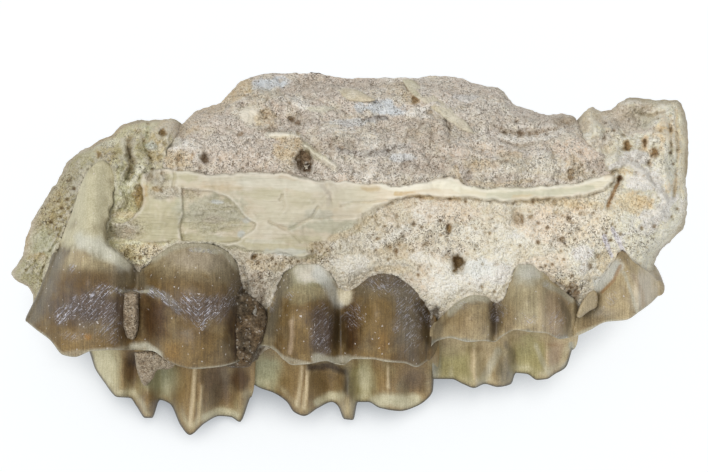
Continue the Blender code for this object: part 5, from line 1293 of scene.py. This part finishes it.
# Porous stretches of the bone and smooth ones of the rock: strength, then as for patches
BONE_POROUS = (
    (1, 62, 200, 24, 40), (1, 445, 232, 34, 20), (0.9, 320, 252, 14, 14), (1, 555, 282, 30, 14),
    (0.6, 580, 235, 34, 26), (0.7, 125, 155, 30, 22), (0.8, 140, 255, 24, 10), (0.8, 262, 270, 14, 16),
    (0.6, 395, 240, 24, 14), (0.5, 610, 130, 10, 14), (0.4, 660, 160, 16, 24), (0.5, 36, 285, 14, 30),
    (0.6, 250, 310, 16, 40), (0.5, 640, 240, 20, 16), (0.7, 300, 262, 24, 6),
)
ROCK_SMOOTH = (
    (0.8, 250, 115, 10, 9), (0.5, 319, 109, 13, 3), (0.7, 283, 135, 13, 3),
    (0.5, 3, ((306, 146), (334, 167))),
)
TOOTH_PAINT = {
    "molar_3": (
        ("fawn", 1, 190, 258, 46, 17), ("taupe", 0.7, 200, 258, 36, 12), ("grey", 0.6, 226, 266, 16, 18),
        ("pearl", 0.7, 3.5, ((152, 260), (168, 249), (186, 244), (206, 245), (226, 251), (238, 268))),
        ("fawn", 0.8, 92, 262, 44, 9), ("grey", 0.7, 120, 276, 18, 13), ("ivory", 1, 88, 196, 40, 52),
        ("ivory", 1, 10, ((60, 236), (80, 238), (100, 246), (122, 256))),
        ("ice", 0.45, 9, ((84, 242), (98, 248), (114, 254), (124, 262))), ("light tan", 0.7, 79, 257, 9, 7),
        ("grey", 0.9, 9, ((56, 254), (50, 272), (42, 295), (34, 316))), ("brown", 0.8, 88, 280, 26, 10),
        ("dark brown", 0.4, 90, 283, 26, 9), ("brown", 0.6, 172, 284, 26, 8), ("plum", 0.9, 92, 308, 40, 17),
        ("gold", 0.7, 80, 342, 36, 12), ("dark brown", 0.5, 120, 334, 8, 12),
        ("grey", 0.6, 5, ((138, 270), (142, 284))), ("dark brown", 0.9, 154, 318, 14, 24),
        ("blue grey", 0.5, 4, ((148, 290), (164, 296), (178, 308))), ("plum", 0.8, 206, 306, 36, 15),
        ("gold", 0.7, 190, 350, 26, 13), ("amber", 0.25, 172, 354, 8, 9), ("amber", 1, 88, 337, 3, 2.4),
        # The dark patch at 246, 334 is painted shade in the gap beside the middle molar
        ("grey", 0.6, 238, 290, 8, 22), ("earth", 1, 246, 334, 14, 30),
        ("pearl", 0.9, 3.4, ((132, 347), (146, 345), (160, 354))),
        ("pearl", 0.35, 2, ((30, 326), (62, 354), (92, 351), (128, 348))), ("brown", 0.5, 200, 290, 30, 7),
        ("pearl", 1, 1.3, ((120, 291), (138, 292), (152, 291))),
        # The pearl line at 192 to 216, 250 is a painted highlight on the top of the crown
        ("pearl", 0.9, 2, ((192, 250), (205, 250), (216, 252))),
    ),
    "molar_2": (
        # The pale ice and chalk cap at 312, 272 is partly pale enamel and partly painted highlight on the
        # dome of the first lobe
        ("pale green", 0.9, 302, 280, 26, 17), ("sage", 0.9, 306, 274, 20, 10), ("ice", 1, 314, 272, 16, 9),
        ("chalk", 0.7, 312, 273, 15, 9), ("ice", 0.7, 6, ((318, 272), (330, 288), (338, 302))),
        ("fawn", 0.6, 304, 292, 24, 7), ("grey", 0.9, 9, ((284, 278), (274, 296), (268, 322), (264, 336))),
        ("light tan", 0.8, 3.6, ((272, 298), (266, 312), (261, 330))), ("gold", 0.7, 302, 338, 20, 24),
        ("pink tan", 0.7, 2.4, ((291, 322), (292, 334), (290, 352))), ("plum", 0.9, 322, 330, 13, 24),
        # The darkest patch at 338, 332 is painted shade in the furrow between the lobes
        ("groove shade", 1, 338, 332, 5.5, 22), ("dark brown", 0.9, 352, 330, 9, 24), ("grey", 1, 392, 286, 34, 14),
        ("plum", 0.5, 392, 280, 26, 7), ("gold", 0.7, 378, 320, 17, 28), ("amber", 0.3, 383, 344, 5, 14),
        ("plum", 0.5, 410, 326, 14, 36), ("grey", 0.6, 408, 322, 12, 30),
        # The dark line down 420 to 430 is painted shade in the furrow at the tooth's right end
        ("groove shade", 0.9, 6, ((420, 304), (426, 318), (430, 342))),
        ("pearl", 0.8, 4, ((316, 358), (334, 361), (348, 359))), ("gold", 0.6, 372, 354, 20, 5),
        ("pearl", 0.5, 2, ((252, 346), (272, 348), (284, 358), (308, 364))),
        ("pearl", 0.4, 2, ((354, 358), (376, 360), (412, 367))), ("fawn", 0.6, 262, 342, 9, 5),
        ("cream", 1, 345, 295, 7, 8), ("cream", 0.8, 3, ((340, 292), (346, 302))),
    ),
    "molar_1": (
        ("ivory", 0.5, 530, 300, 26, 22), ("pearl", 0.9, 4, ((450, 312), (462, 301), (475, 297), (488, 299))),
        # The dark patch at 495, 320 is painted shade in the furrow between the lobes
        ("gold", 0.4, 464, 324, 20, 11), ("earth", 0.8, 495, 320, 6, 18),
        ("blue grey", 0.9, 4.5, ((430, 345), (446, 341), (466, 344), (486, 347), (498, 346))),
        ("grey", 0.6, 438, 330, 6, 12), ("blue grey", 0.7, 3.4, ((500, 340), (512, 334), (528, 333))),
        ("pearl", 0.9, 525, 274, 15, 12), ("ice", 0.5, 528, 272, 10, 7), ("brown", 0.6, 508, 314, 9, 16),
        ("fawn", 0.6, 526, 302, 16, 14), ("rib", 0.7, 3, ((540, 288), (541, 310), (540, 334))),
        ("pink tan", 0.8, 556, 312, 12, 24), ("pearl", 0.8, 3, ((545, 284), (560, 291), (572, 300))),
        ("rib", 0.5, 528, 320, 6, 5), ("grey", 0.6, 3, ((560, 300), (568, 316), (570, 334))),
        ("blue grey", 0.6, 3, ((540, 336), (556, 340), (566, 338))),
    ),
    "premolar_4": (
        ("grey", 0.7, 600, 314, 22, 7), ("gold", 0.4, 594, 322, 12, 6), ("light tan", 0.6, 616, 300, 14, 16),
        # The pearl line down 624 to 638 is a painted highlight along a ridge
        ("chalk", 0.6, 645, 292, 13, 20), ("pearl", 0.8, 1.5, ((624, 272), (632, 295), (638, 315))),
        ("pink tan", 0.6, 2, ((634, 276), (642, 292), (644, 310))),
        ("ice", 0.8, 6, ((616, 266), (608, 276), (598, 286))),
        ("rust", 0.6, 1.6, ((620, 266), (614, 280), (602, 292))),
        ("pearl", 0.6, 2, ((578, 334), (606, 323), (632, 320))),
    ),
}
# Cusp flanks are painted paler left of their ribs and darker right of them: partly their colour, partly
# painted light that falls from the left
CUSP_PAINT = {
    "molar_3": (
        ("yellow green", 1, 105, 370, 15, 28), ("ivory", 0.8, 105, 368, 13, 22),
        ("dark brown", 0.7, 131, 366, 8, 18), ("pale green", 1, 160, 378, 16, 16),
        ("cream white", 0.5, 172, 386, 8, 9), ("gold", 0.7, 184, 396, 9, 28), ("plum", 0.7, 218, 384, 16, 24),
        ("rib", 0.9, 1.8, ((195, 368), (193, 395), (190, 424))),
        ("rib", 0.7, 1.4, ((202, 386), (200, 405), (197, 424))), ("dark brown", 0.9, 239, 376, 9, 14),
        ("cream white", 0.8, 3.6, ((205, 418), (220, 411), (236, 415))), ("brown", 0.8, 148, 403, 8, 12),
        # The dark patch at 142, 362 is painted shade under the tongue crest
        ("earth", 0.8, 142, 362, 14, 8), ("cream white", 0.5, 3, ((110, 392), (122, 394), (134, 392))),
    ),
    "molar_2": (
        ("pale green", 1, 262, 374, 20, 18), ("gold", 0.8, 286, 390, 9, 20), ("brown", 0.7, 324, 380, 15, 14),
        ("rib", 0.9, 1.8, ((302, 366), (300, 386), (297, 405))),
        ("rib", 0.9, 2, ((308, 370), (306, 390), (304, 408))),
        # The dark line at 310 to 344, 367 is painted shade under the tongue crest
        ("earth", 0.8, 3.5, ((310, 367), (330, 366), (344, 372))),
        ("cream white", 0.9, 4, ((318, 402), (330, 396), (342, 396))), ("edge", 0.9, 349, 384, 6, 16),
        ("fawn", 0.8, 348, 408, 8, 11), ("yellow green", 1, 363, 380, 11, 22),
        ("cream white", 0.7, 366, 380, 8, 14), ("gold", 0.6, 384, 376, 12, 12),
        ("rib", 0.9, 1.6, ((388, 366), (388, 388))), ("plum", 0.6, 414, 380, 16, 13),
        ("cream white", 0.95, 6, ((374, 402), (390, 399), (405, 402), (416, 400))),
    ),
    "molar_1": (
        ("yellow green", 1, 456, 366, 28, 18), ("yellow green", 1, 530, 358, 18, 22),
        ("blue grey", 0.9, 433, 360, 7, 20), ("fawn", 0.6, 450, 350, 18, 7), ("rib", 0.8, 483, 362, 12, 13),
        ("rib", 0.7, 2.2, ((473, 350), (473, 370), (478, 384))),
        ("brown", 0.25, 3, ((462, 349), (480, 349), (497, 352))),
        ("pearl", 0.8, 4, ((498, 352), (489, 370), (481, 386))), ("grey", 0.9, 505, 370, 8, 20),
        ("pearl", 0.5, 2.4, ((536, 346), (542, 360), (549, 374))), ("pink tan", 0.9, 557, 356, 10, 16),
        ("gold", 0.6, 565, 356, 5, 6), ("rust", 0.3, 552, 345, 7, 2),
        ("blue grey", 0.8, 2.4, ((571, 344), (573, 356), (562, 369))),
        ("grey", 0.6, 3, ((506, 344), (512, 352), (514, 366))),
    ),
    "premolar_4": (),
}
GROUND = {"molar_3": "brown", "molar_2": "brown", "molar_1": "light tan", "premolar_4": "light tan"}
CUSP_GROUND = {"molar_3": "buccal", "molar_2": "buccal", "molar_1": "light tan", "premolar_4": "light tan"}
# The middles of each tooth's lobes, which the strokes of wear lead to
LOBES = {"molar_3": (40, 198), "molar_2": (306, 388), "molar_1": (466, 530), "premolar_4": (616,)}
# Frosty wear on the enamel
FROST = {
    "molar_3": (
        (0.9, 8, ((62, 316), (80, 305), (104, 292))), (0.6, 100, 312, 22, 12),
        (0.9, 4, ((152, 291), (166, 298), (179, 311))), (0.9, 7, ((188, 300), (196, 312), (202, 322))),
        (0.9, 6, ((238, 298), (222, 304), (204, 320))), (0.5, 206, 308, 26, 12), (0.4, 75, 336, 14, 4),
        # The frost along 190 to 214, 250 is a painted highlight on the top of the crown
        (0.5, 110, 328, 12, 12), (0.9, 2, ((190, 250), (214, 251))),
        (0.8, 3, ((108, 288), (122, 291), (140, 293))), (0.5, 236, 290, 8, 10), (0.8, 72, 268, 3, 4),
    ),
    "molar_2": (
        (0.5, 392, 284, 28, 9), (0.9, 3, ((396, 286), (400, 306), (396, 330))), (0.6, 412, 316, 12, 28),
        (0.9, 3, ((374, 288), (392, 286))), (0.9, 3, ((418, 306), (426, 316), (430, 326))),
        (0.4, 322, 326, 12, 18), (0.7, 290, 296, 5, 4), (0.6, 326, 350, 6, 5), (0.4, 354, 316, 10, 12),
        (0.4, 270, 300, 6, 14),
    ),
    "molar_1": (
        (0.5, 498, 310, 8, 12), (0.5, 530, 322, 8, 5), (0.5, 462, 306, 6, 4), (0.4, 556, 320, 8, 14),
        (0.5, 546, 284, 5, 3),
    ),
    "premolar_4": ((0.3, 612, 298, 6, 6),),
}
# Ribs and hollows: x, y, half width, half height and rise. First on the tongue faces, then on the cheek cusps
TONGUE_RELIEF = {
    "molar_3": (
        (130, 316, 8.5, 26, -2.2), (146, 316, 6, 20, -0.8), (240, 330, 10, 30, -0.8), (190, 262, 40, 16, 0.6),
        (88, 285, 30, 16, 0.5), (92, 320, 40, 16, -0.5), (200, 326, 36, 14, -0.6), (90, 200, 13, 60, 1.3),
        (150, 300, 10, 6, 0.3),
    ),
    "molar_2": (
        (340, 332, 8, 28, -1.4), (291, 336, 2.4, 18, 0.35), (378, 318, 14, 30, 0.6), (428, 320, 6, 22, -1),
        (300, 320, 20, 30, 0.6), (322, 340, 8, 20, -0.3),
    ),
    "molar_1": (
        (495, 322, 5.5, 20, -1.3), (541, 312, 4, 24, 0.5), (527, 320, 7, 6, -0.3), (464, 320, 16, 16, 0.4),
        (524, 300, 14, 20, 0.4),
    ),
    "premolar_4": (
        (638, 296, 2.4, 20, 0.6), (606, 306, 16, 8, -0.5), (650, 290, 6, 14, -0.5), (624, 296, 2, 20, -0.3),
    ),
}
CUSP_RELIEF = {
    "molar_3": (
        (194, 398, 2.6, 34, 0.6), (201, 400, 1.8, 24, 0.45), (196, 396, 17, 44, 1.8),
        (106, 372, 11, 26, -1.3), (168, 388, 9, 24, -1.2), (224, 394, 12, 24, -1.4), (148, 402, 7, 22, 2),
        (136, 370, 6, 22, -0.8), (122, 380, 5, 26, 0.8), (240, 400, 6, 24, 0.8),
    ),
    "molar_2": (
        (302, 390, 2.4, 30, 0.5), (308, 392, 2, 26, 0.5), (303, 388, 15, 36, 1.7), (388, 380, 2.2, 18, 0.5),
        (388, 388, 14, 30, 1.4), (268, 378, 15, 18, -1.2), (328, 386, 12, 20, -1.2), (348, 402, 7, 24, 2),
        (366, 386, 9, 20, -1), (414, 388, 12, 18, -1), (430, 384, 6, 20, 0.8),
    ),
    "molar_1": (
        (474, 368, 6, 26, 1.4), (450, 362, 15, 16, -1.2), (489, 366, 8, 16, -1), (506, 366, 7, 26, 1.9),
        (528, 358, 13, 18, -1.2), (547, 362, 6, 20, 1.2), (560, 356, 6, 12, -0.6), (432, 360, 5, 22, 0.8),
    ),
    "premolar_4": (),
}


def add_piece(name, spots, faces, masks, finish, nodes):
    """Make a piece from grid spots, and let it ride, stand for its solid and take its finish."""
    mesh = bpy.data.meshes.new(name)
    world = place(spots)
    world[:, 2] = np.maximum(world[:, 2], CAD_BOX[0][2])
    mesh.from_pydata(world.tolist(), [], faces)
    grid = mesh.attributes.new("grid", "FLOAT_VECTOR", "POINT")
    grid.data.foreach_set("vector", (spots * (1, 1, 10)).astype(np.float32).ravel())
    for title, values in masks.items():
        values = np.asarray(values, np.float32)
        kind, field = ("FLOAT", "value") if values.ndim == 1 else ("FLOAT_VECTOR", "vector")
        mesh.attributes.new(title, kind, "POINT").data.foreach_set(field, values.ravel())
    mesh.shade_smooth()
    mesh.materials.append(finish)
    piece = bpy.data.objects.new(name, mesh)
    bpy.context.collection.objects.link(piece)
    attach(piece, "root")
    if nodes:
        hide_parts(*nodes)
    return piece


def weathered(spots, faces, depth, size, seed, keep):
    """Grid spots moved along the surface's own direction by rough noise, less where keep is high."""
    mesh = bpy.data.meshes.new("weathering")
    mesh.from_pydata((spots * (1, 1, 10)).tolist(), [], faces)
    normals = np.zeros(len(spots) * 3)
    mesh.vertex_normals.foreach_get("vector", normals)
    bpy.data.meshes.remove(mesh)
    move = depth * rough(spots * (1, 1, 10), size, seed, 4, 0.65) * (1 - keep)
    return spots + normals.reshape(-1, 3) * move[:, None] * (1, 1, 0.1)


def hollows(spots, faces, reach):
    """How sunk each spot is among its neighbours, from 0 to 1."""
    pairs = np.array([(a, b) for f in faces for a, b in zip(f, f[1:] + f[:1])])
    w = spots[:, 2].copy()
    count = np.bincount(pairs.ravel(), minlength=len(w)).clip(1)
    level = w
    for _ in range(reach):
        total = np.bincount(pairs[:, 0], level[pairs[:, 1]], len(w))
        total += np.bincount(pairs[:, 1], level[pairs[:, 0]], len(w))
        level = total / count
    return level - w


def add_bone(finish):
    """The jawbone."""
    def rim(x, y):
        top = soft_step((180 - y) / 40) * soft_step((x - 185) / 30) * soft_step((575 - x) / 30)
        return BONE_RIM + (BONE_TOP_RIM - BONE_RIM) * top

    def hidden(x, y):
        under_rock = (reach_inside(x, y, MATRIX_OUTLINE) > 9) & (reach_inside(x, y, PALATE_SHELF) < -6)
        return under_rock | (socket_reach(x, y) > 7)

    path = ragged_curve(BONE_OUTLINE, 2.0, 0.8, 18, (15, 19), 4, 0.6)
    spots, faces = pebble(path, rim, bone_front, cheek_back, (FINE, BACK_FINE), RIM_RINGS,
                          (FRONT_ROUND, BACK_ROUND), hidden)
    x, y = spots[:, 0], spots[:, 1]
    shelf = shelf_share(x, y) * (spots[:, 2] > 0)
    spots = weathered(spots, faces, 1.5, 13, 23, 0.9 * shelf)
    x, y = spots[:, 0], spots[:, 1]
    away = line_distance(x, y, path)
    inner = soft_step(away / 7 - 0.4)
    sunk = hollows(spots, faces, 4) * inner
    wide = hollows(spots, faces, 18) * inner
    front = soft_step((spots[:, 2] + 4) / 3)
    fibre = shelf * (1 - blots(x, y, SHELF_CRUMBLY))
    seam = np.exp(-((socket_reach(x, y) / 1.6) ** 2)) * soft_step(0.4 + rough(flat(x, y), 16, 33))
    colours = paint(spots, "sand", BONE_PAINT, BONE_MOTTLES, 0.4, 0.5)
    # Painted shade in the pits and open pores
    open_share = np.clip(sum_pits(x, y, BONE_PITS) / 0.62, 0, 1)
    open_share = np.maximum(open_share, np.clip(1.3 * open_pores(x, y) - 0.3, 0, 0.75) * (1 - fibre))
    behind = BACK_LIGHT * paint(spots, "sand", (), BACK_MOTTLES)
    # Painted light along the jaw, partly the bone's own tone, then the lean of its colour
    bright = np.interp(x, *BARE_LIGHT) * (1 - shelf) + np.interp(x, *SHELF_LIGHT) * shelf
    warm = 1 + (1 - shelf[:, None]) * (np.array(WARMTH) - 1)
    warm = warm * (1 + soft_step((190 - x) / 50)[:, None] * (1 - shelf[:, None]) * (np.array(LEFT_TINGE) - 1))
    colours = np.minimum(colours * bright[:, None] * warm, BRIGHTEST)
    colours *= 1 - open_share[:, None] * BONE_PIT_SHADE
    colours = behind + front[:, None] * (colours - behind)
    porous = np.clip(0.25 + blots(x, y, BONE_POROUS), 0, 1) * (1 - fibre)
    porous *= 1 - 0.7 * blots(x, y, BONE_SMOOTH)
    # Painted shade: darker in the hollows of the bone and along its seams at the teeth
    shade = np.clip((sunk - 0.08) / 0.35, 0, 1) * 0.6 + np.clip((wide - 0.3) / 1.0, 0, 1) * 0.2
    masks = {
        "paint": colours,
        "fibre": fibre,
        "porous": porous,
        "hollow": np.clip(shade * (1 - 0.4 * shelf) + 0.3 * seam, 0, 1),
        "worn": np.clip(-sunk / 0.16, 0, 1) * front,
    }
    add_piece("jaw_bone", spots, faces, masks, finish, ["maxilla"])


def add_rock(finish):
    """The rock that fills the pocket above the palate shelf."""
    def rim(x, y):
        return MATRIX_RIM + 0 * x

    def spread(x, y):
        return np.interp(y, (140, 172), (22, 4)) * np.interp(x, (165, 200, 570, 600), (0.3, 1, 1, 0.3))

    path = ragged_curve(MATRIX_OUTLINE, 2.0, 0.7, 18, (35, 39), 4, 0.6)
    spots, faces = pebble(path, rim, rock_front, matrix_back, (ROCK_FINE, BACK_FINE * 2), RIM_RINGS,
                          (spread, 20))
    x, y = spots[:, 0], spots[:, 1]
    smooth = blots(x, y, ROCK_SMOOTH)
    spots = weathered(spots, faces, 1.4, 9, 27, 0.7 * smooth)
    inner = soft_step(line_distance(x, y, path) / 7 - 0.4)
    sunk = hollows(spots, faces, 4) * inner
    wide = hollows(spots, faces, 20) * inner
    colours = paint(spots, "stone", ROCK_PAINT, ROCK_MOTTLES, 0.4, 0.5) * ROCK_LIGHT
    colours *= np.interp(x, *ROCK_ALONG)[:, None]
    # Painted shade in the pits
    pits = np.clip(sum_pits(x, y, ROCK_PITS) / 0.7, 0, 1) * (spots[:, 2] > 0)
    colours *= 1 - pits[:, None] * ROCK_PIT_SHADE
    masks = {
        "paint": colours,
        "fibre": smooth,
        "porous": 0.7 * (1 - smooth),
        # painted shade in the hollows of the rock
        "hollow": 0.6 * np.clip((sunk - 0.02) / 0.3, 0, 1) + 0.35 * np.clip(wide - 0.2, 0, 1),
        "worn": np.clip(-sunk / 0.16, 0, 1),
    }
    add_piece("rock_matrix", spots, faces, masks, finish, ["matrix"])


def plain_masks(spots, ground, mottles, **shares):
    """Masks of a small piece in one mottled tone."""
    masks = {title: np.full(len(spots), share) for title, share in shares.items()}
    masks["paint"] = paint(spots, ground, (), mottles)
    return masks


def add_sliver(name, outline, finish, node):
    """A thin chip of bone that lies in the rock."""
    def rim(x, y):
        return matrix_front(x, y) - SLIVER_HEIGHT * 0.4

    def front(x, y):
        return matrix_front(x, y) + SLIVER_HEIGHT + 0.16 * rough(flat(x, y), 12, 45, 4, 0.6)

    def back(x, y):
        return matrix_front(x, y) - SLIVER_DEPTH

    path = ragged_curve(outline, 1.6, 0.5, 5, (36, 38))
    spots, faces = pebble(path, rim, front, back, (1.2, 3.0), (0.6, 1.5), (5, 5))
    masks = plain_masks(spots, "straw", ROCK_MOTTLES, fibre=0.3, porous=0.1, hollow=0.0, worn=0.2)
    add_piece(name, spots, faces, masks, finish, [node])


# Sandy crumbs stuck to the teeth: outline, depth at the top and at the bottom in millimetres, tone
CRUMBS = (
    (((121, 293), (130, 291), (139, 293), (139, 312), (138, 330), (133, 340), (127, 338), (122, 324)),
     7.9, 6.2, "rock brown"),
    (((134, 352), (148, 351), (160, 354), (176, 362), (172, 368), (158, 370), (152, 380), (145, 386),
     (138, 374)), 5.6, 0.4, "rock brown"),
    # The third crumb sits in the gap between the rear two molars; its dark tone is partly dark sand, partly
    # painted shade
    (((236, 292), (250, 294), (262, 304), (268, 320), (264, 338), (257, 350), (250, 366), (238, 368),
     (227, 366), (231, 352), (227, 338), (233, 322), (230, 306)), 5.9, 4.4, "earth"),
)


def add_crumb(number, outline, top, bottom, ground, finish):
    """A crumb of sandy rock on a tooth."""
    ends = np.array(outline)[:, 1]

    def rim(x, y):
        return np.interp(y, (ends.min(), ends.max()), (top, bottom)) - 1.6

    def front(x, y):
        rise = 0.35 * rough(flat(x, y), 8, 47 + number, 3, 0.6) - scatter(x, y, 0.4, 5, (0.8, 1.4), 0.3, 63)
        return rim(x, y) + 1.6 + rise

    def back(x, y):
        return rim(x, y) - 1.6

    path = ragged_curve(outline, 1.5, 0.8, 6, (52, 56))
    spots, faces = pebble(path, rim, front, back, (1.1, 3.0), (0.6, 1.5), (5, 5))
    masks = plain_masks(spots, ground, CRUMB_MOTTLES, fibre=0.0, porous=0.8, worn=0.0)
    inner = soft_step(line_distance(spots[:, 0], spots[:, 1], path) / 4 - 0.3)
    # Painted shade in the crumb's hollows
    masks["hollow"] = np.clip(hollows(spots, faces, 3) * inner / 0.2, 0, 1)
    add_piece(f"sandy_crumb_{number}", spots, faces, masks, finish, [])


def add_tooth(name, finish):
    """A tooth, skinned finely over its rails, with its marks."""
    rails = TEETH[name]
    spots, faces, around = skin(rails)
    x, y = spots[:, 0], spots[:, 1]
    tongue = np.clip(soft_step((1.02 - around) / 0.04) + (around > 3.5), 0, 1)
    cusp = soft_step((around - 1.02) / 0.04) * (around < 2.3)
    spots[:, 2] += cusp * lumps(x, y, CUSP_RELIEF[name]) + tongue * lumps(x, y, TONGUE_RELIEF[name])
    spots[:, 2] += 0.08 * rough(flat(x, y), 16, 97) + 0.02 * rough(flat(x, y, (1, 14)), 2.6, 98, 2)
    if name == "molar_3":
        spots[:, 2] -= ROOT_SINK * soft_step(reach_inside(x, y, ROOT_COVER, 3) / 1.5 + 0.5) * (around < 1)
    face = paint(spots, GROUND[name], TOOTH_PAINT[name], TOOTH_MOTTLES, 0.28, 1.2, GLOSS_LIGHT, FACE_SHARE)
    back = paint(spots, CUSP_GROUND[name], CUSP_PAINT[name], CUSP_MOTTLES, 0.22, 1.1, GLOSS_LIGHT, CUSP_SHARE)
    colours = face * (1 - cusp[:, None]) + back * cusp[:, None]
    # A pale line along the tongue crest, partly the pale enamel rim and partly painted highlight where the
    # crest catches the light
    crest = through(rails["tongue crest"], np.linspace(0, 1, 90))[:, :2]
    low = through(rails["cheek crest"], np.linspace(0, 1, 140))[:, :2]
    rim = np.exp(-((line_distance(x, y, crest, closed=False) / 1.3) ** 2)) * (np.abs(around - 1) < 0.1)
    low_reach = line_distance(x, y, low, closed=False)
    edge = np.exp(-((low_reach / 1.9) ** 2)) * cusp
    rim *= 0.3 + 0.5 * soft_step(rough(flat(x, y), 14, 99) + 0.5)
    colours += rim[:, None] * (seen("pearl") - colours)
    colours += 0.92 * edge[:, None] * (seen("edge", GLOSS_LIGHT) - colours)
    bright = np.exp(-(((low_reach - 6) / 3.2) ** 2)) * cusp * soft_step(0.5 + rough(flat(x, y), 18, 106))
    colours += 0.5 * bright[:, None] * (seen("cream white", GLOSS_LIGHT, CUSP_SHARE) - colours)
    # Painted shade: darker in the valley between the tongue crest and the cheek crest
    valley = soft_step((around - 1.03) / 0.1) * soft_step((1.6 - around) / 0.3)
    colours *= 1 - 0.2 * valley[:, None]
    away = np.min([np.abs(x - middle) for middle in LOBES[name]], axis=0)
    root = blots(x, y, ((1.0, 88, 196, 40, 52),))
    masks = {
        "paint": colours,
        "flow": np.column_stack((away - y, away + y, 10 * spots[:, 2])),
        "lined": 0.9 * (1 - 0.2 * cusp) * (1 - 0.7 * root),
        "frost": blots(x, y, FROST[name], 0.4) * (1 - cusp),
        "specks": 0.6 * tongue,
        "dull": 0.4 + 0.6 * root,
    }
    add_piece(name + "_enamel", spots, faces, masks, finish, [name])


def add_chip(finish):
    """The enamel wedge that has cracked off the premolar."""
    def level(depth):
        return lambda x, y: depth + 0 * x

    def front(x, y):
        return CHIP_FRONT + 0.06 * (588 - x) + 0.1 * rough(flat(x, y), 7, 46)

    corners = np.array(PREMOLAR_CHIP, float)
    ahead = np.roll(corners, -1, axis=0) - corners
    ring = np.stack((corners + 0.12 * ahead, corners + 0.88 * ahead), axis=1).reshape(-1, 2)
    path = closed_curve(tuple(map(tuple, ring)), 1.2)
    spots, faces = pebble(path, level((CHIP_FRONT + CHIP_BACK) / 2), front, level(CHIP_BACK),
                          (1.2, 2.4), (0.6, 1.4), (1.8, 1.8))
    masks = plain_masks(spots, "light tan", TOOTH_MOTTLES, lined=0.6, frost=0.0, specks=0.3, dull=0.6)
    masks["flow"] = spots * (1, 1, 10)
    add_piece("premolar_chip_enamel", spots, faces, masks, finish, ["premolar_chip"])


# The floor glows evenly, with a painted shadow of the jaw in its glow: how far that painted shadow reaches
# over the floor, in metres, its tones in the shadow and in the open, and the strength of the glow
FLOOR_SHADOW = 0.006
FLOOR_SHADE = (150, 156, 164)
FLOOR_OPEN = (250, 253, 255)
FLOOR_GLOW = 0.86
# The main light: where it stands and how wide it is, in metres, and its power in watts
KEY_PLACE = (-0.17, -0.22, 0.54)
KEY_SIZE = 0.24
KEY_POWER = 2.2
DAYLIGHT = 0.62


def add_floor():
    """Plain pale floor under the jaw, that glows, with a painted shadow where the jaw is near."""
    mesh = bpy.data.meshes.new("floor")
    reach = 1.5
    corners = [(-reach, -reach, 0), (reach, -reach, 0), (reach, reach, 0), (-reach, reach, 0)]
    mesh.from_pydata(corners, [], [(0, 1, 2, 3)])
    made, shade, shader = start_finish("pale_floor")
    near = shade.add("ShaderNodeAmbientOcclusion", {"Distance": FLOOR_SHADOW}, samples=16)
    open_share = shade.between(near.outputs["AO"], 0.1, 0.85)
    shade.join(shade.mix(open_share, tone(*FLOOR_SHADE), tone(*FLOOR_OPEN)), shader.inputs["Emission Color"])
    shader.inputs["Base Color"].default_value = (0.30, 0.31, 0.32, 1)
    shader.inputs["Roughness"].default_value = 0.9
    shader.inputs["Specular IOR Level"].default_value = 0.1
    shader.inputs["Emission Strength"].default_value = FLOOR_GLOW
    mesh.materials.append(made)
    floor = bpy.data.objects.new("floor", mesh)
    bpy.context.collection.objects.link(floor)
    floor.location.z = CAD_BOX[0][2] - 0.00002


def add_light(name, at, size, power, lit):
    """Soft square light that points at the jaw and lights only the given pieces."""
    data = bpy.data.lights.new(name, "AREA")
    data.shape = "SQUARE"
    data.size = size
    data.energy = power
    lamp = bpy.data.objects.new(name, data)
    bpy.context.collection.objects.link(lamp)
    lamp.location = at
    aim = Vector((0, 0, 0.01)) - Vector(at)
    lamp.rotation_euler = aim.to_track_quat("-Z", "Y").to_euler()
    lamp.light_linking.receiver_collection = lit


def add_camera():
    """Camera that looks square on to the tongue side, so that a grid unit is a pixel of the picture."""
    data = bpy.data.cameras.new("camera")
    data.sensor_width = 36
    data.lens = data.sensor_width * SIGHT / (PICTURE_WIDTH * UNIT)
    data.clip_start = 0.01
    camera = bpy.data.objects.new("camera", data)
    bpy.context.collection.objects.link(camera)
    across = (SIGHT_POINT[0] - GRID_ORIGIN[0]) * UNIT
    up = (GRID_ORIGIN[1] - SIGHT_POINT[1]) * UNIT
    camera.location = (
        across + HOME[0], up * math.cos(LEAN) - SIGHT * math.sin(LEAN) + HOME[1],
        up * math.sin(LEAN) + SIGHT * math.cos(LEAN) + HOME[2],
    )
    camera.rotation_euler = (LEAN, 0, 0)
    bpy.context.scene.camera = camera


def add_daylight():
    """Even pale light from all around."""
    world = bpy.data.worlds.new("daylight")
    world.use_nodes = True
    sky = world.node_tree.nodes["Background"]
    sky.inputs["Color"].default_value = (1.0, 1.0, 1.0, 1)
    sky.inputs["Strength"].default_value = DAYLIGHT
    bpy.context.scene.world = world


def build():
    bpy.context.scene.view_settings.view_transform = "Standard"
    bone = stone_finish("fossil_bone", 0.46, tone(104, 84, 56))
    rock = stone_finish("sandy_rock", 0.64, tone(104, 90, 70))
    enamel = enamel_finish("fossil_enamel")
    add_bone(bone)
    add_rock(rock)
    add_sliver("bone_sliver_oval_chip", OVAL_SLIVER, bone, "bone_sliver_oval")
    add_sliver("bone_sliver_slab_chip", SLAB_SLIVER, bone, "bone_sliver_slab")
    for number, crumb in enumerate(CRUMBS, 1):
        add_crumb(number, *crumb, rock)
    add_tooth("molar_3", enamel)
    add_tooth("molar_2", enamel)
    add_tooth("molar_1", enamel)
    add_tooth("premolar_4", enamel)
    add_chip(enamel)
    add_floor()
    add_daylight()
    jaw = bpy.data.collections.new("jaw")
    for piece in bpy.context.scene.objects:
        if piece.type == "MESH" and piece.name != "floor":
            jaw.objects.link(piece)
    add_light("key", KEY_PLACE, KEY_SIZE, KEY_POWER, jaw)
    add_camera()


build()
